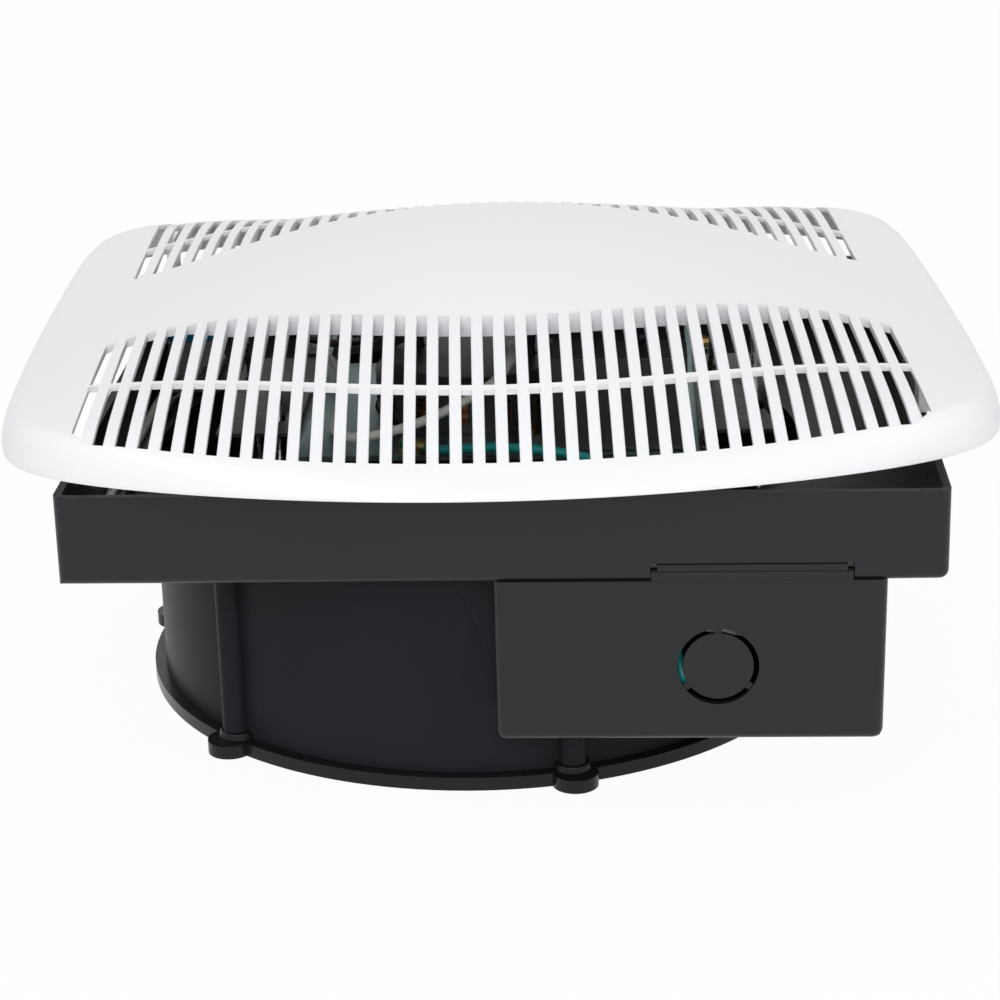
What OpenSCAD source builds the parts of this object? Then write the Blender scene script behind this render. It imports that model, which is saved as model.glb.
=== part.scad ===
// Ceiling exhaust fan with vertical discharge, standing on its round
// discharge end with the room grille on top.
// Origin: fan axis at the lower face of the discharge ring. +Z points to the
// room, -Y is the side with the junction box. Millimetres.

/* [Housing] */
// Outer width and depth of the square tray
housing_w = 240; // [236:1:250]
// Height of the tray above the fan chamber
tray_h = 25; // [23:0.5:30]
// Wall of the moulded housing
wall = 2.2; // [1.8:0.1:2.8]
// Rounding of the tray's upright corners
tray_corner_r = 1.2; // [0.8:0.1:5]
// Height of the fan chamber from the ring's lower face to the tray
chamber_h = 70; // [69:1:80]
// Outer radius of the fan chamber
chamber_r = 100.5; // [100:0.5:104]
// How far the tray's centre lies to the right of the fan axis
tray_shift = 11.5; // [10.5:0.5:12]
// Radius of the half-round posts on the chamber wall
post_r = 3.8; // [3.2:0.1:4.6]
// Turn of the first post from the front, to the left
post_turn = 43; // [40:1:46]
// Radius of the joist screw holes in the tray's sides
joist_hole_r = 2.5; // [2:0.1:3.5]
// Distance between the two joist screw holes of a side
joist_hole_gap = 160; // [120:5:180]

/* [Discharge ring and damper] */
// How far the discharge ring stands out past the fan chamber
ring_over = 3.5; // [2.5:0.5:5]
// Thickness of the discharge ring
ring_t = 4; // [3:0.5:5]
// Radius of the screw ears on the ring
ear_r = 6.6; // [5.4:0.1:7]
// Radius of the ring screws' thread
ring_screw_r = 1.6; // [1.3:0.1:1.9]
// Height of the collar that carries the damper, above the ring
collar_h = 6.5; // [6:0.5:8]
// Radius of the damper pin
damper_pin_r = 1.5; // [1.2:0.1:1.8]
// Thickness of the damper flaps
flap_t = 0.8; // [0.5:0.1:1.2]
// Width of one damper knuckle
knuckle_w = 16; // [10:1:18]

/* [Junction box] */
// Width of the junction box
jbox_w = 106; // [98:1:110]
// Distance from the fan axis to the left side of the junction box
jbox_left = 9.4; // [8.6:0.2:12]
// Height of the junction box below the tray
jbox_h = 47.2; // [42:0.2:52]
// Depth of the junction box from the front
jbox_d = 62; // [54:1:68]
// Wall of the junction box
jbox_wall = 2; // [1.6:0.1:2.4]
// Radius of the conduit knockout hole
knockout_r = 11.1; // [10.5:0.1:12]
// Radius of the disc left in the knockout
knockout_disc_r = 9.6; // [9:0.1:9.9]
// Distance from the fan axis to the knockout
knockout_x = 70; // [64:1:78]
// Height of the knockout above the ring's lower face
knockout_z = 44.8; // [43:0.2:50]
// Width of the tab that hooks the box into the tray's front
tab_w = 54; // [44:1:60]
// Height of the tab and its notch
tab_h = 4.6; // [3:0.2:6]

/* [Grille] */
// Half the width of the grille at its middle
grille_hx = 142.5; // [141:0.5:148]
// Half the depth of the grille at its middle
grille_hy = 141.8; // [140.6:0.4:148]
// Bow radius of the grille's left and right edges
side_bow_r = 1000; // [800:50:2000]
// Bow radius of the grille's front and back edges
front_bow_r = 300; // [290:5:360]
// Height of the grille's edge above the tray's rim
rim_gap = 5.8; // [4.6:0.2:8]
// Height of the dome's middle above the tray's rim
dome_h = 40.4; // [39:0.2:46]
// Distance between neighbouring slots
slot_pitch = 6.11; // [6:0.01:6.2]
// Width of one slot
slot_w = 2.8; // [2.4:0.1:3.2]
// Width of the cross rib in each slot field
rib_w = 2.4; // [1.8:0.1:3]
// Depth of the slot bars at the cross rib
bar_depth = 1.6; // [1.4:0.1:3]
// Depth of the slot bars where they leave the plain middle band
band_depth = 6; // [5:0.1:7]
// Thickness of the plain parts of the grille
skin_t = 2.6; // [2.2:0.1:3]
// How far the grille sits turned on the housing, in degrees
grille_turn = 3; // [0:0.5:4]
// Distance of the grille's middle to the left of the tray's middle
grille_left = 4.9; // [4.4:0.1:6]

/* [Spring suspension] */
// Distance of each spring from the grille's middle
spring_x = 72; // [71:0.5:73]
// Height of the springs' axis above the tray's rim
spring_up = 22; // [21:0.5:22.5]
// Angle of the spring arms from the vertical when the grille is seated
arm_angle = 28; // [26:1:30]
// Angle that each arm folds in while the grille is drawn off
arm_fold = 13; // [11:1:14]
// Length of each spring arm
arm_len = 78; // [74:1:80]
// Radius of the spring wire
wire_r = 0.9; // [0.7:0.1:1]
// Radius of the moulded pin in the spring
spring_pin_r = 2.6; // [2.3:0.1:2.8]
// Travel of the grille when it is drawn off the housing
grille_travel = 36; // [30:1:38]

/* [Motor and fan] */
// Radius of the motor's body
motor_r = 40; // [38:0.5:41]
// Height of the motor plate above the tray's floor
plate_lift = 8.2; // [8:0.1:9]
// Thickness of the motor plate
plate_t = 1.6; // [1.2:0.1:2]
// Distance of the plate's left rail from the fan axis
rail_left = 52; // [51:0.5:53]
// Distance of the plate's right rail from the fan axis
rail_right = 67; // [66:0.5:68]
// Height of the fan's hub above the damper's collar
fan_lift = 3.5; // [3:0.1:4.5]
// Height of the motor's end bell above the plate
bell_h = 16; // [13:1:18]
// Step from the motor's radius to the end bell that passes the plate
bell_step = 9; // [8.5:0.5:11]
// Wall of the motor's shell
shell_t = 1.5; // [1.2:0.1:2]
// Radius of the motor shaft
shaft_r = 4; // [3:0.1:4.5]
// Radius of the fan blades' tips
blade_tip_r = 93; // [88:0.5:94]
// Number of fan blades
blade_count = 5; // [4:1:7]
// Chord of a fan blade
blade_chord = 46; // [38:1:47]
// Pitch angle of the fan blades
blade_pitch = 24; // [18:1:25]
// Thickness of a fan blade
blade_t = 1.6; // [1.2:0.1:2.2]
// Radius of the fan's hub
hub_r = 17; // [15:0.5:20]
// Gap between the fan's hub and the motor
fan_gap = 2.5; // [1.5:0.1:3]

/* [Wiring] */
// Width of the capacitor
cap_w = 42; // [38:1:44]
// Thickness of the capacitor
cap_d = 18; // [14:1:20]
// Height of the capacitor
cap_h = 28; // [24:1:30]
// Radius of the insulated leads
lead_r = 1.45; // [1.1:0.05:1.55]

/* [Hidden] */
$fn = 96;

black_plastic = [0.19, 0.19, 0.205];
white_plastic = [0.95, 0.95, 0.96];
zinc = [0.62, 0.65, 0.66];
brass = [0.78, 0.64, 0.32];
dark_steel = [0.12, 0.12, 0.13];
copper = [0.72, 0.4, 0.22];

eps = 0.01;
seat_gap = 0.2;
run_gap = 0.05;
soft_gap = 0.3;
rim_z = chamber_h + tray_h;
floor_z = chamber_h + wall;
chamber_in = chamber_r - wall;
tray_in = housing_w / 2 - wall;
front_y = -housing_w / 2;
post_count = 6;
post_at = chamber_r + 1.4;
ear_at = chamber_r + post_r;
screw_at = post_at + 0.9;
ring_r = chamber_r + ring_over;
collar_r = chamber_in - soft_gap;
plate_z = floor_z + plate_lift;
plate_top = plate_z + plate_t;
bell_r = motor_r - bell_step;
spring_z = rim_z + spring_up;

module ring2d(outer, inner) {
    difference() {
        circle(outer);
        circle(inner);
    }
}

module tube(outer, inner, h) {
    linear_extrude(h) ring2d(outer, inner);
}

// Rectangle with round corners, from its centre
module round_plan(w, d, r) {
    square([w - 2 * r, d], center = true);
    square([w, d - 2 * r], center = true);
    for (sx = [-1, 1], sy = [-1, 1])
        translate([sx * (w / 2 - r), sy * (d / 2 - r)]) circle(r, $fn = 48);
}

module at_posts() {
    for (i = [0 : post_count - 1])
        rotate(-90 - post_turn + i * 360 / post_count) children();
}

// Pan-head screw along +Z, with its thread below z = 0
module pan_screw(head_r, head_h, thread_r, thread_l) {
    difference() {
        union() {
            cylinder(r = head_r, h = head_h * 0.55, $fn = 48);
            translate([0, 0, head_h * 0.55 - eps])
                cylinder(r1 = head_r, r2 = head_r * 0.62, h = head_h * 0.45, $fn = 48);
        }
        for (a = [0, 90])
            rotate(a) translate([-head_r * 0.55, -head_r * 0.11, head_h * 0.5])
                cube([head_r * 1.1, head_r * 0.22, head_h]);
    }
    translate([0, 0, -thread_l]) cylinder(r = thread_r, h = thread_l + eps, $fn = 48);
}

// Housing: the open tray, and below it the chamber with its posts and gusset
cover_x0 = jbox_left + 8;
cover_x1 = jbox_left + jbox_w - 9;
cover_y0 = front_y + wall + 1;
cover_y1 = front_y + 24;
wire_hole_x = [cover_x0 + 8, cover_x1 - 8];
tab_x = knockout_x + 9 - tab_w / 2;
tab_gap = 0.25;
tab_step = tab_h / 2;
tab_in = 1.6;
gusset_y = -chamber_r + wall / 2;
gusset_depth = 6;

module tray() {
    difference() {
        translate([tray_shift, 0, chamber_h])
            linear_extrude(tray_h) round_plan(housing_w, housing_w, tray_corner_r);
        translate([tray_shift, 0, floor_z])
            linear_extrude(tray_h) round_plan(2 * tray_in, 2 * tray_in, tray_corner_r);
        translate([0, 0, chamber_h - 1]) cylinder(r = chamber_in, h = wall + 2);
        translate([wire_hole_x[0], front_y + 8, chamber_h - 1])
            cube([wire_hole_x[1] - wire_hole_x[0], 9, wall + 2]);
        for (x = cover_screw_x)
            translate([x, cover_screw_y, chamber_h - 1])
                cylinder(r = cover_screw_r + 0.3, h = wall + 2, $fn = 48);
        for (p = foot_holes)
            translate([p[0], p[1], chamber_h - 1])
                cylinder(r = foot_screw_r + run_gap, h = wall + 2, $fn = 48);
        for (s = [-1, 1])
            translate([recept_at[0], recept_at[1] + s * recept_screw_y, chamber_h - 1])
                cylinder(r = recept_screw_r + run_gap, h = wall + 2, $fn = 48);
        translate([tab_x - tab_gap, front_y - 1, chamber_h - 1])
            cube([tab_w + 2 * tab_gap, wall + 1, tab_h + 1 + tab_gap]);
        for (s = [-1, 1], y = [-1, 1] * joist_hole_gap / 2)
            translate([tray_shift + s * housing_w / 2, y, rim_z - tray_h * 0.45])
                rotate([0, 90, 0])
                    cylinder(r = joist_hole_r, h = 4 * wall, center = true, $fn = 48);
    }
}

module chamber() {
    difference() {
        translate([0, 0, ring_t]) linear_extrude(chamber_h - ring_t) difference() {
            union() {
                circle(chamber_r);
                at_posts() translate([post_at, 0]) circle(post_r, $fn = 48);
            }
            circle(chamber_in);
        }
        at_posts() translate([screw_at, 0, ring_t - 1])
            cylinder(r = ring_screw_r, h = 15, $fn = 48);
    }
}

module gusset() {
    top = chamber_h;
    side = jbox_left - 0.4;
    translate([0, gusset_y, 0]) rotate([90, 0, 0]) linear_extrude(gusset_depth)
        polygon([[side - 13, top], [side, top], [side, top - jbox_h * 0.62],
            [side - 3, top - jbox_h * 0.55], [side - 7, top - jbox_h * 0.3]]);
}

module housing() {
    color(black_plastic) tray();
}

module fan_chamber() {
    color(black_plastic) union() {
        chamber();
        gusset();
    }
}

// Discharge ring with its ears and the collar that carries the damper
lip_t = 1.2;
lip_w = 4;
lip_z = ring_t + collar_h;
collar_in = collar_r - 1.6;
damper_z = lip_z - lip_t - soft_gap - flap_t - damper_pin_r;
ring_head_r = ear_r * 0.5;
ring_sink = 1.8;
module discharge_ring() {
    color(black_plastic) difference() {
        union() {
            linear_extrude(ring_t) {
                circle(ring_r);
                at_posts() translate([ear_at, 0]) circle(ear_r, $fn = 48);
            }
            cylinder(r = collar_r, h = lip_z);
        }
        translate([0, 0, -1]) cylinder(r = collar_in, h = lip_z - lip_t + 1);
        translate([0, 0, -1]) cylinder(r = collar_in - lip_w, h = lip_z + 2);
        at_posts() translate([screw_at, 0, -1]) {
            cylinder(r = ring_screw_r + 0.2, h = ring_t + 2, $fn = 48);
            cylinder(r = ring_head_r + 0.2, h = ring_sink + 1, $fn = 48);
        }
        translate([0, 0, damper_z]) rotate([0, 90, 0])
            cylinder(r = damper_pin_r + run_gap, h = 2 * collar_r + 2, center = true, $fn = 48);
    }
}

module ring_screws() {
    color(dark_steel) at_posts() translate([screw_at, 0, ring_sink - eps]) mirror([0, 0, 1])
        pan_screw(ring_head_r, 1.6, ring_screw_r - run_gap, 12);
}

// Junction box below the tray, hollow and open on top
jbox_z = chamber_h - jbox_h;
jbox_mid = [jbox_left + jbox_w / 2, front_y + jbox_d / 2];
module jbox_plan(inset) {
    difference() {
        translate(jbox_mid)
            round_plan(jbox_w - 2 * inset, jbox_d - 2 * inset, tray_corner_r);
        circle(chamber_r + soft_gap + inset);
        at_posts() translate([post_at, 0]) circle(post_r + soft_gap + inset, $fn = 48);
    }
}

module knockout() {
    translate([knockout_x, front_y, knockout_z]) rotate([-90, 0, 0]) {
        translate([0, 0, 0.4]) cylinder(r = knockout_disc_r, h = jbox_wall - 0.8);
        for (a = [90, 215, 325])
            rotate(-a) translate([0, -1, 0.6]) cube([knockout_r + 0.3, 2, jbox_wall - 1.2]);
    }
}

module jbox_bosses() {
    z = chamber_h - seat_gap - boss_h;
    for (x = cover_screw_x)
        translate([0, 0, z]) difference() {
            linear_extrude(boss_h) intersection() {
                jbox_plan(0.4);
                translate([x, cover_screw_y]) circle(3.8, $fn = 48);
            }
            translate([x, cover_screw_y, 1]) cylinder(r = cover_screw_r + run_gap, h = boss_h, $fn = 48);
        }
}

module junction_box() {
    color(black_plastic) {
        difference() {
            translate([0, 0, jbox_z]) linear_extrude(jbox_h - seat_gap) jbox_plan(0);
            translate([0, 0, jbox_z + jbox_wall]) linear_extrude(jbox_h) jbox_plan(jbox_wall);
            translate([knockout_x, front_y - 1, knockout_z]) rotate([-90, 0, 0])
                cylinder(r = knockout_r, h = jbox_wall + 2);
        }
        translate([tab_x, front_y + 0.1, chamber_h - 1])
            cube([tab_w, wall - 0.3, tab_step + 1]);
        translate([tab_x + tab_in, front_y + 0.5, chamber_h])
            cube([tab_w - 2 * tab_in, wall - 0.7, tab_h - 0.3]);
        knockout();
        jbox_bosses();
    }
}

// Sheet cover over the wire hole in the tray floor
cover_h = 12;
cover_t = 1.2;
cover_screw_y = (cover_y0 + cover_y1) / 2;
cover_screw_x = [cover_x0 - 3.5, cover_x1 + 3.5];
cover_screw_r = 1.5;
boss_h = 12;
green_hole = [cover_x0 + 40, cover_y1, floor_z + seat_gap + cover_h / 2];
supply_hole = [cover_x0, cover_y0 + 4.8, green_hole[2]];
module wiring_cover() {
    w = cover_x1 - cover_x0;
    d = cover_y1 - cover_y0;
    z = floor_z + seat_gap;
    color(zinc) difference() {
        union() {
            translate([cover_x0, cover_y0, z]) cube([w, d, cover_h]);
            translate([cover_x0 - 7, cover_y0, z]) cube([w + 14, d, cover_t]);
        }
        translate([cover_x0 + cover_t, cover_y0 + cover_t, z - 1])
            cube([w - 2 * cover_t, d - 2 * cover_t, cover_h - cover_t + 1]);
        for (x = cover_screw_x)
            translate([x, cover_screw_y, z - 1])
                cylinder(r = cover_screw_r + 0.3, h = 4, $fn = 48);
        translate(green_hole) rotate([90, 0, 0])
            cylinder(r = 2.4, h = 4, center = true, $fn = 48);
        translate(supply_hole) rotate([0, 90, 0])
            cylinder(r = 3.6, h = 4, center = true, $fn = 48);
    }
}

module cover_screws() {
    color(brass) for (x = cover_screw_x)
        translate([x, cover_screw_y, floor_z + seat_gap + cover_t + eps])
            pan_screw(3.2, 2.2, cover_screw_r, cover_t + 2 * seat_gap + wall + boss_h - 3);
}

// Receptacle on the tray floor and the motor's plug
recept_w = 15;
recept_d = 22;
recept_h = 14.5;
recept_at = [tray_shift - tray_in + 9.8, 61];
recept_screw_y = recept_d / 2 + 3.6;
recept_screw_r = 1.4;
blade_slot = [1.2, 6];
plug_gap = 0.3;
module receptacle() {
    z = floor_z + seat_gap;
    color([0.45, 0.46, 0.47]) translate([recept_at[0], recept_at[1], z]) difference() {
        union() {
            linear_extrude(recept_h) round_plan(recept_w, recept_d, 1.5);
            linear_extrude(2) round_plan(recept_w, recept_d + 14, 1.5);
        }
        for (y = [-7, 0, 7])
            translate([-blade_slot[0] / 2 - 0.2, y - blade_slot[1] / 2 + 0.3, 3])
                cube([blade_slot[0] + 0.4, blade_slot[1] - 0.6, recept_h]);
        for (s = [-1, 1])
            translate([0, s * recept_screw_y, -1]) cylinder(r = 1.7, h = 4, $fn = 48);
    }
}

module receptacle_screws() {
    color(brass) for (s = [-1, 1])
        translate([recept_at[0], recept_at[1] + s * recept_screw_y, floor_z + seat_gap + 2 + eps])
            pan_screw(2.8, 2, recept_screw_r, 2 + wall);
}

module motor_plug() {
    z = floor_z + seat_gap + recept_h + plug_gap;
    color([0.05, 0.42, 0.62]) translate([recept_at[0], recept_at[1], z]) {
        linear_extrude(8) round_plan(recept_w - 1, recept_d - 1.5, 1.5);
        for (y = [-7, 0, 7])
            translate([-blade_slot[0] / 2, y - blade_slot[1] / 2 + 0.6, -6])
                cube([blade_slot[0], blade_slot[1] - 1.2, 6.5]);
    }
}

// Motor bracket: plate, two rails and four feet in sheet steel
plate_y0 = -50;
plate_y1 = 42;
rail_y = chamber_in - 6.3;
foot_w = 12;
rail_z = floor_z + seat_gap;
motor_screw_at = motor_r - 4.5;
motor_screw_r = 1.9;
rubber_t = 2.4;
foot_screw_r = 1.9;
foot_holes = [for (x = [-rail_left - foot_w / 2 + plate_t, rail_right + foot_w / 2 - plate_t],
    t = [-1, 1]) [x, t * (rail_y - foot_w / 2)]];
module motor_bracket() {
    color(zinc) difference() {
        union() {
            translate([-rail_left, plate_y0, plate_z])
                cube([rail_left + rail_right, plate_y1 - plate_y0, plate_t]);
            rail(-rail_left, 1, -1);
            rail(rail_right, -1, 1);
        }
        translate([0, 0, plate_z - 1]) cylinder(r = bell_r + 0.6, h = plate_t + 2);
        for (a = [45 : 90 : 315])
            rotate(a) translate([motor_screw_at, 0, plate_z - 1])
                cylinder(r = motor_screw_r + 0.3, h = plate_t + 2, $fn = 48);
        for (p = foot_holes)
            translate([p[0], p[1], rail_z - 1])
                cylinder(r = foot_screw_r + 0.3, h = plate_t + 2, $fn = 48);
        rivet_cuts();
        translate([cap_ear[0], cap_ear[1], plate_z - 1]) cylinder(r = 1.7, h = plate_t + 2, $fn = 48);
        translate([ground_at[0], ground_at[1], plate_z - 1])
            cylinder(r = 1.7, h = plate_t + 2, $fn = 48);
    }
}

// Rail standing inside x, with feet turned outwards
module rail(x, into, out) {
    translate([into > 0 ? x : x - plate_t, -rail_y, rail_z])
        cube([plate_t, 2 * rail_y, plate_top - rail_z]);
    for (y = [-rail_y, rail_y - foot_w])
        translate([out > 0 ? x - plate_t : x - foot_w + plate_t, y, rail_z])
            cube([foot_w, foot_w, plate_t]);
}

module bracket_screws() {
    color(brass) for (p = foot_holes)
        translate([p[0], p[1], rail_z + plate_t + eps]) 
            pan_screw(3.6, 2.4, foot_screw_r, plate_t + wall);
}

// Places of the grille and its springs
grille_at = [tray_shift - grille_left, -0.4];
arm_gap = 5.5;
module in_grille() {
    translate([grille_at[0], grille_at[1], 0]) rotate(grille_turn) children();
}

function to_grille(p) =
    let (d = p - grille_at)
    [d[0] * cos(grille_turn) + d[1] * sin(grille_turn),
        -d[0] * sin(grille_turn) + d[1] * cos(grille_turn)];

// Spring brackets: angle plates on the rails with a slot for each arm
shelf_z = plate_top + 2;
shelf_w = 24;
shelf_t = 1.2;
shelf_d = 76;
slot_run = [for (t = [0, 0.5, 1])
    (spring_z - shelf_z + t * grille_travel) * tan(arm_angle - t * arm_fold)];
slot_near = min(slot_run) - 3;
slot_far = max(slot_run) + 3;
rivet_r = 1.6;
rivet_y = [-30, 30];
rivet_z = shelf_z - 7.2;
rivet_head = [2.6, 1.9];
module shelf(side) {
    x = side < 0 ? -rail_left : rail_right;
    difference() {
        union() {
            translate([side < 0 ? x - shelf_t - eps : x + eps, -shelf_d / 2, rail_z + 1.4])
                cube([shelf_t, shelf_d, shelf_z + shelf_t - rail_z - 1.4]);
            translate([side < 0 ? x - shelf_w : x + eps, -shelf_d / 2, shelf_z])
                cube([shelf_w - eps, shelf_d, shelf_t]);
        }
        in_grille() for (sy = [-1, 1])
            translate([side * spring_x - sy * arm_gap - 2, sy > 0 ? slot_near : -slot_far, shelf_z - 1])
                cube([4, slot_far - slot_near, shelf_t + 2]);
        for (y = rivet_y)
            translate([x, y, rivet_z]) rotate([0, 90, 0])
                cylinder(r = rivet_r + run_gap, h = 10, center = true, $fn = 48);
    }
}

module spring_brackets() {
    color(zinc) for (side = [-1, 1])
        shelf(side);
}

module rivet_cuts() {
    for (x = [-rail_left, rail_right], y = rivet_y)
        translate([x, y, rivet_z]) rotate([0, 90, 0])
            cylinder(r = rivet_r + run_gap, h = 10, center = true, $fn = 48);
}

module spring_bracket_rivets() {
    color([0.75, 0.76, 0.78]) for (side = [-1, 1], y = rivet_y)
        translate([side < 0 ? -rail_left : rail_right, y, rivet_z]) rotate([0, side * 90, 0]) {
            translate([0, 0, -plate_t - 1.2]) cylinder(r = rivet_r, h = plate_t + shelf_t + 1.4, $fn = 48);
            translate([0, 0, shelf_t + 2 * eps]) cylinder(r1 = rivet_head[0], r2 = rivet_head[1], h = 1.2, $fn = 48);
            translate([0, 0, -plate_t - 1.2 - eps]) cylinder(r1 = rivet_head[1], r2 = rivet_head[0], h = 1.2, $fn = 48);
        }
}

// Motor
bell_flange_z = plate_z - rubber_t - shell_t;
boss_drop = 4;
hub_h = 20;
hub_z0 = lip_z + fan_lift;
fan_z = hub_z0 + hub_h / 2;
shell_z0 = hub_z0 + hub_h + fan_gap + boss_drop;
motor_h = bell_flange_z - shell_z0;
bell_top = plate_top + bell_h;
core_z0 = shell_z0 + 6;
core_z1 = bell_flange_z - 6;
core_in = motor_r * 0.52;
bearing_r = 8;
boss_r = 11;
lead_holes = [[10, -10], [-18, 8], [14, 7], [17, -1]];

module rubber_mounts() {
    color([0.1, 0.1, 0.1]) for (a = [45 : 90 : 315])
        rotate(a) translate([motor_screw_at, 0, plate_z - rubber_t + eps])
            tube(4.2, motor_screw_r + 0.1, rubber_t - 2 * eps, $fn = 48);
}

module motor_screws() {
    color(dark_steel) for (a = [45 : 90 : 315])
        rotate(a) translate([motor_screw_at, 0, plate_top + eps])
            pan_screw(3.4, 2.6, motor_screw_r, plate_t + rubber_t + shell_t + 2);
}

module motor_shell() {
    color(dark_steel) difference() {
        translate([0, 0, shell_z0 + eps]) cylinder(r = motor_r, h = motor_h - 2 * eps);
        translate([0, 0, shell_z0 - 1]) cylinder(r = motor_r - shell_t, h = motor_h + 2);
        for (a = [0 : 30 : 330])
            rotate(a) translate([motor_r, 0, shell_z0 + 6]) cube([8, 4, 6], center = true);
    }
}

module upper_end_bell() {
    in_r = bell_r - shell_t;
    color(dark_steel) difference() {
        union() {
            translate([0, 0, bell_flange_z]) cylinder(r = motor_r, h = shell_t);
            translate([0, 0, bell_flange_z]) cylinder(r = bell_r, h = bell_top - bell_flange_z - 4);
            translate([0, 0, bell_top - 4]) cylinder(r1 = bell_r, r2 = bell_r - 5, h = 4);
        }
        difference() {
            union() {
                translate([0, 0, bell_flange_z - 1])
                    cylinder(r = in_r, h = bell_top - bell_flange_z - 3);
                translate([0, 0, bell_top - 4 - eps])
                    cylinder(r1 = in_r, r2 = in_r - 3.2, h = 4 - shell_t);
            }
            translate([0, 0, bell_top - 11]) cylinder(r = boss_r, h = 12, $fn = 64);
        }
        translate([0, 0, bell_top - 12]) cylinder(r = bearing_r + run_gap, h = 12 - shell_t, $fn = 64);
        for (a = [0 : 24 : 336])
            rotate(a) translate([bell_r, 0, plate_top + 6.5]) cube([8, 4, 7], center = true);
        for (p = lead_holes)
            translate([p[0], p[1], bell_top - 6]) cylinder(r = lead_r + 0.6, h = 8, $fn = 32);
        for (a = [45 : 90 : 315])
            rotate(a) translate([motor_screw_at, 0, bell_flange_z - 1])
                cylinder(r = motor_screw_r + 0.1, h = shell_t + 2, $fn = 48);
    }
}

module lower_end_bell() {
    color(dark_steel) difference() {
        union() {
            translate([0, 0, shell_z0 - shell_t]) cylinder(r = motor_r, h = shell_t);
            translate([0, 0, shell_z0 - boss_drop]) cylinder(r = boss_r, h = boss_drop + 5, $fn = 64);
        }
        translate([0, 0, shell_z0 - 2.8]) cylinder(r = bearing_r + run_gap, h = 10, $fn = 64);
        translate([0, 0, shell_z0 - 6]) cylinder(r = shaft_r + 1, h = 10, $fn = 64);
        for (a = [0 : 40 : 320])
            rotate(a) translate([25, 0, shell_z0 - 3]) cylinder(r = 4, h = 6, $fn = 32);
    }
}

module stator_core() {
    color([0.5, 0.5, 0.52]) translate([0, 0, core_z0])
        tube(motor_r - shell_t - run_gap, core_in, core_z1 - core_z0);
}

module winding(z0, z1, outer) {
    mid = (outer + core_in + 1.5) / 2;
    half = (outer - core_in - 1.5) / 2;
    rotate_extrude() {
        translate([mid - half, z0]) square([2 * half, z1 - z0 - half * 0.6]);
        translate([mid - half * 0.7, z0]) square([1.4 * half, z1 - z0]);
    }
}

module stator_windings() {
    color(copper) {
        winding(core_z1 + eps, bell_top - 8, bell_r - shell_t - 1);
        translate([0, 0, core_z0 - eps]) mirror([0, 0, 1]) winding(0, 5, motor_r - 7);
    }
}

module bearing(z) {
    color([0.8, 0.8, 0.82]) translate([0, 0, z]) tube(bearing_r, shaft_r + run_gap, 6.8, $fn = 64);
}

module upper_bearing() {
    bearing(bell_top - shell_t - 7);
}

module lower_bearing() {
    bearing(shell_z0 - 2.6);
}

module motor_shaft() {
    color([0.75, 0.75, 0.77])
        translate([0, 0, hub_z0 - 1]) cylinder(r = shaft_r, h = bell_top - shell_t - 0.3 - hub_z0 + 1, $fn = 64);
}

module rotor_core() {
    color([0.55, 0.55, 0.57]) translate([0, 0, core_z0]) {
        tube(core_in - 0.5, shaft_r + eps, core_z1 - core_z0);
        translate([0, 0, -3]) tube(core_in - 3, core_in - 8, 3 + eps);
        translate([0, 0, core_z1 - core_z0 - eps]) tube(core_in - 3, core_in - 8, 3 + eps);
    }
}

// Fan: hub cup and pitched blades, trimmed round at the tips
module blade() {
    rotate([blade_pitch, 0, 0]) translate([hub_r - 4, -blade_chord / 2, -blade_t / 2])
        linear_extrude(blade_t) polygon([[0, blade_chord * 0.2], [0, blade_chord * 0.8],
            [22, blade_chord], [blade_tip_r, blade_chord], [blade_tip_r, 0], [30, blade_chord * 0.06]]);
}

module fan_blades() {
    color([0.16, 0.16, 0.17]) difference() {
        union() {
            intersection() {
                for (i = [0 : blade_count - 1])
                    rotate(i * 360 / blade_count) translate([0, 0, fan_z]) blade();
                cylinder(r = blade_tip_r, h = chamber_h);
            }
            translate([0, 0, hub_z0]) cylinder(r = hub_r, h = hub_h, $fn = 64);
        }
        translate([0, 0, hub_z0 - 1]) cylinder(r = shaft_r + eps, h = hub_h + 2, $fn = 64);
        translate([0, 0, hub_z0 + 3]) rotate(90) rotate([0, 90, 0])
            cylinder(r = 1.8, h = hub_r + 5, $fn = 32);
    }
}

module hub_screw() {
    color(dark_steel) translate([0, 0, hub_z0 + 3]) rotate(90) rotate([0, 90, 0])
        translate([0, 0, shaft_r + 0.1]) cylinder(r = 1.7, h = hub_r - shaft_r - 1, $fn = 32);
}

// Damper: pin, spring and two flaps with interleaved knuckles
knuckle_r = damper_pin_r + 1.1;
flap_r = collar_in - soft_gap;
pin_end = 0.4;
knuckle_x = [-70, -30, 30, 70];
module damper_pin() {
    color([0.7, 0.7, 0.72]) translate([0, 0, damper_z]) rotate([0, 90, 0])
        cylinder(r = damper_pin_r, h = 2 * collar_r - pin_end, center = true, $fn = 48);
}

function own_knuckle(i, s) = (i % 2 == 0) == (s > 0);

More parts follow.
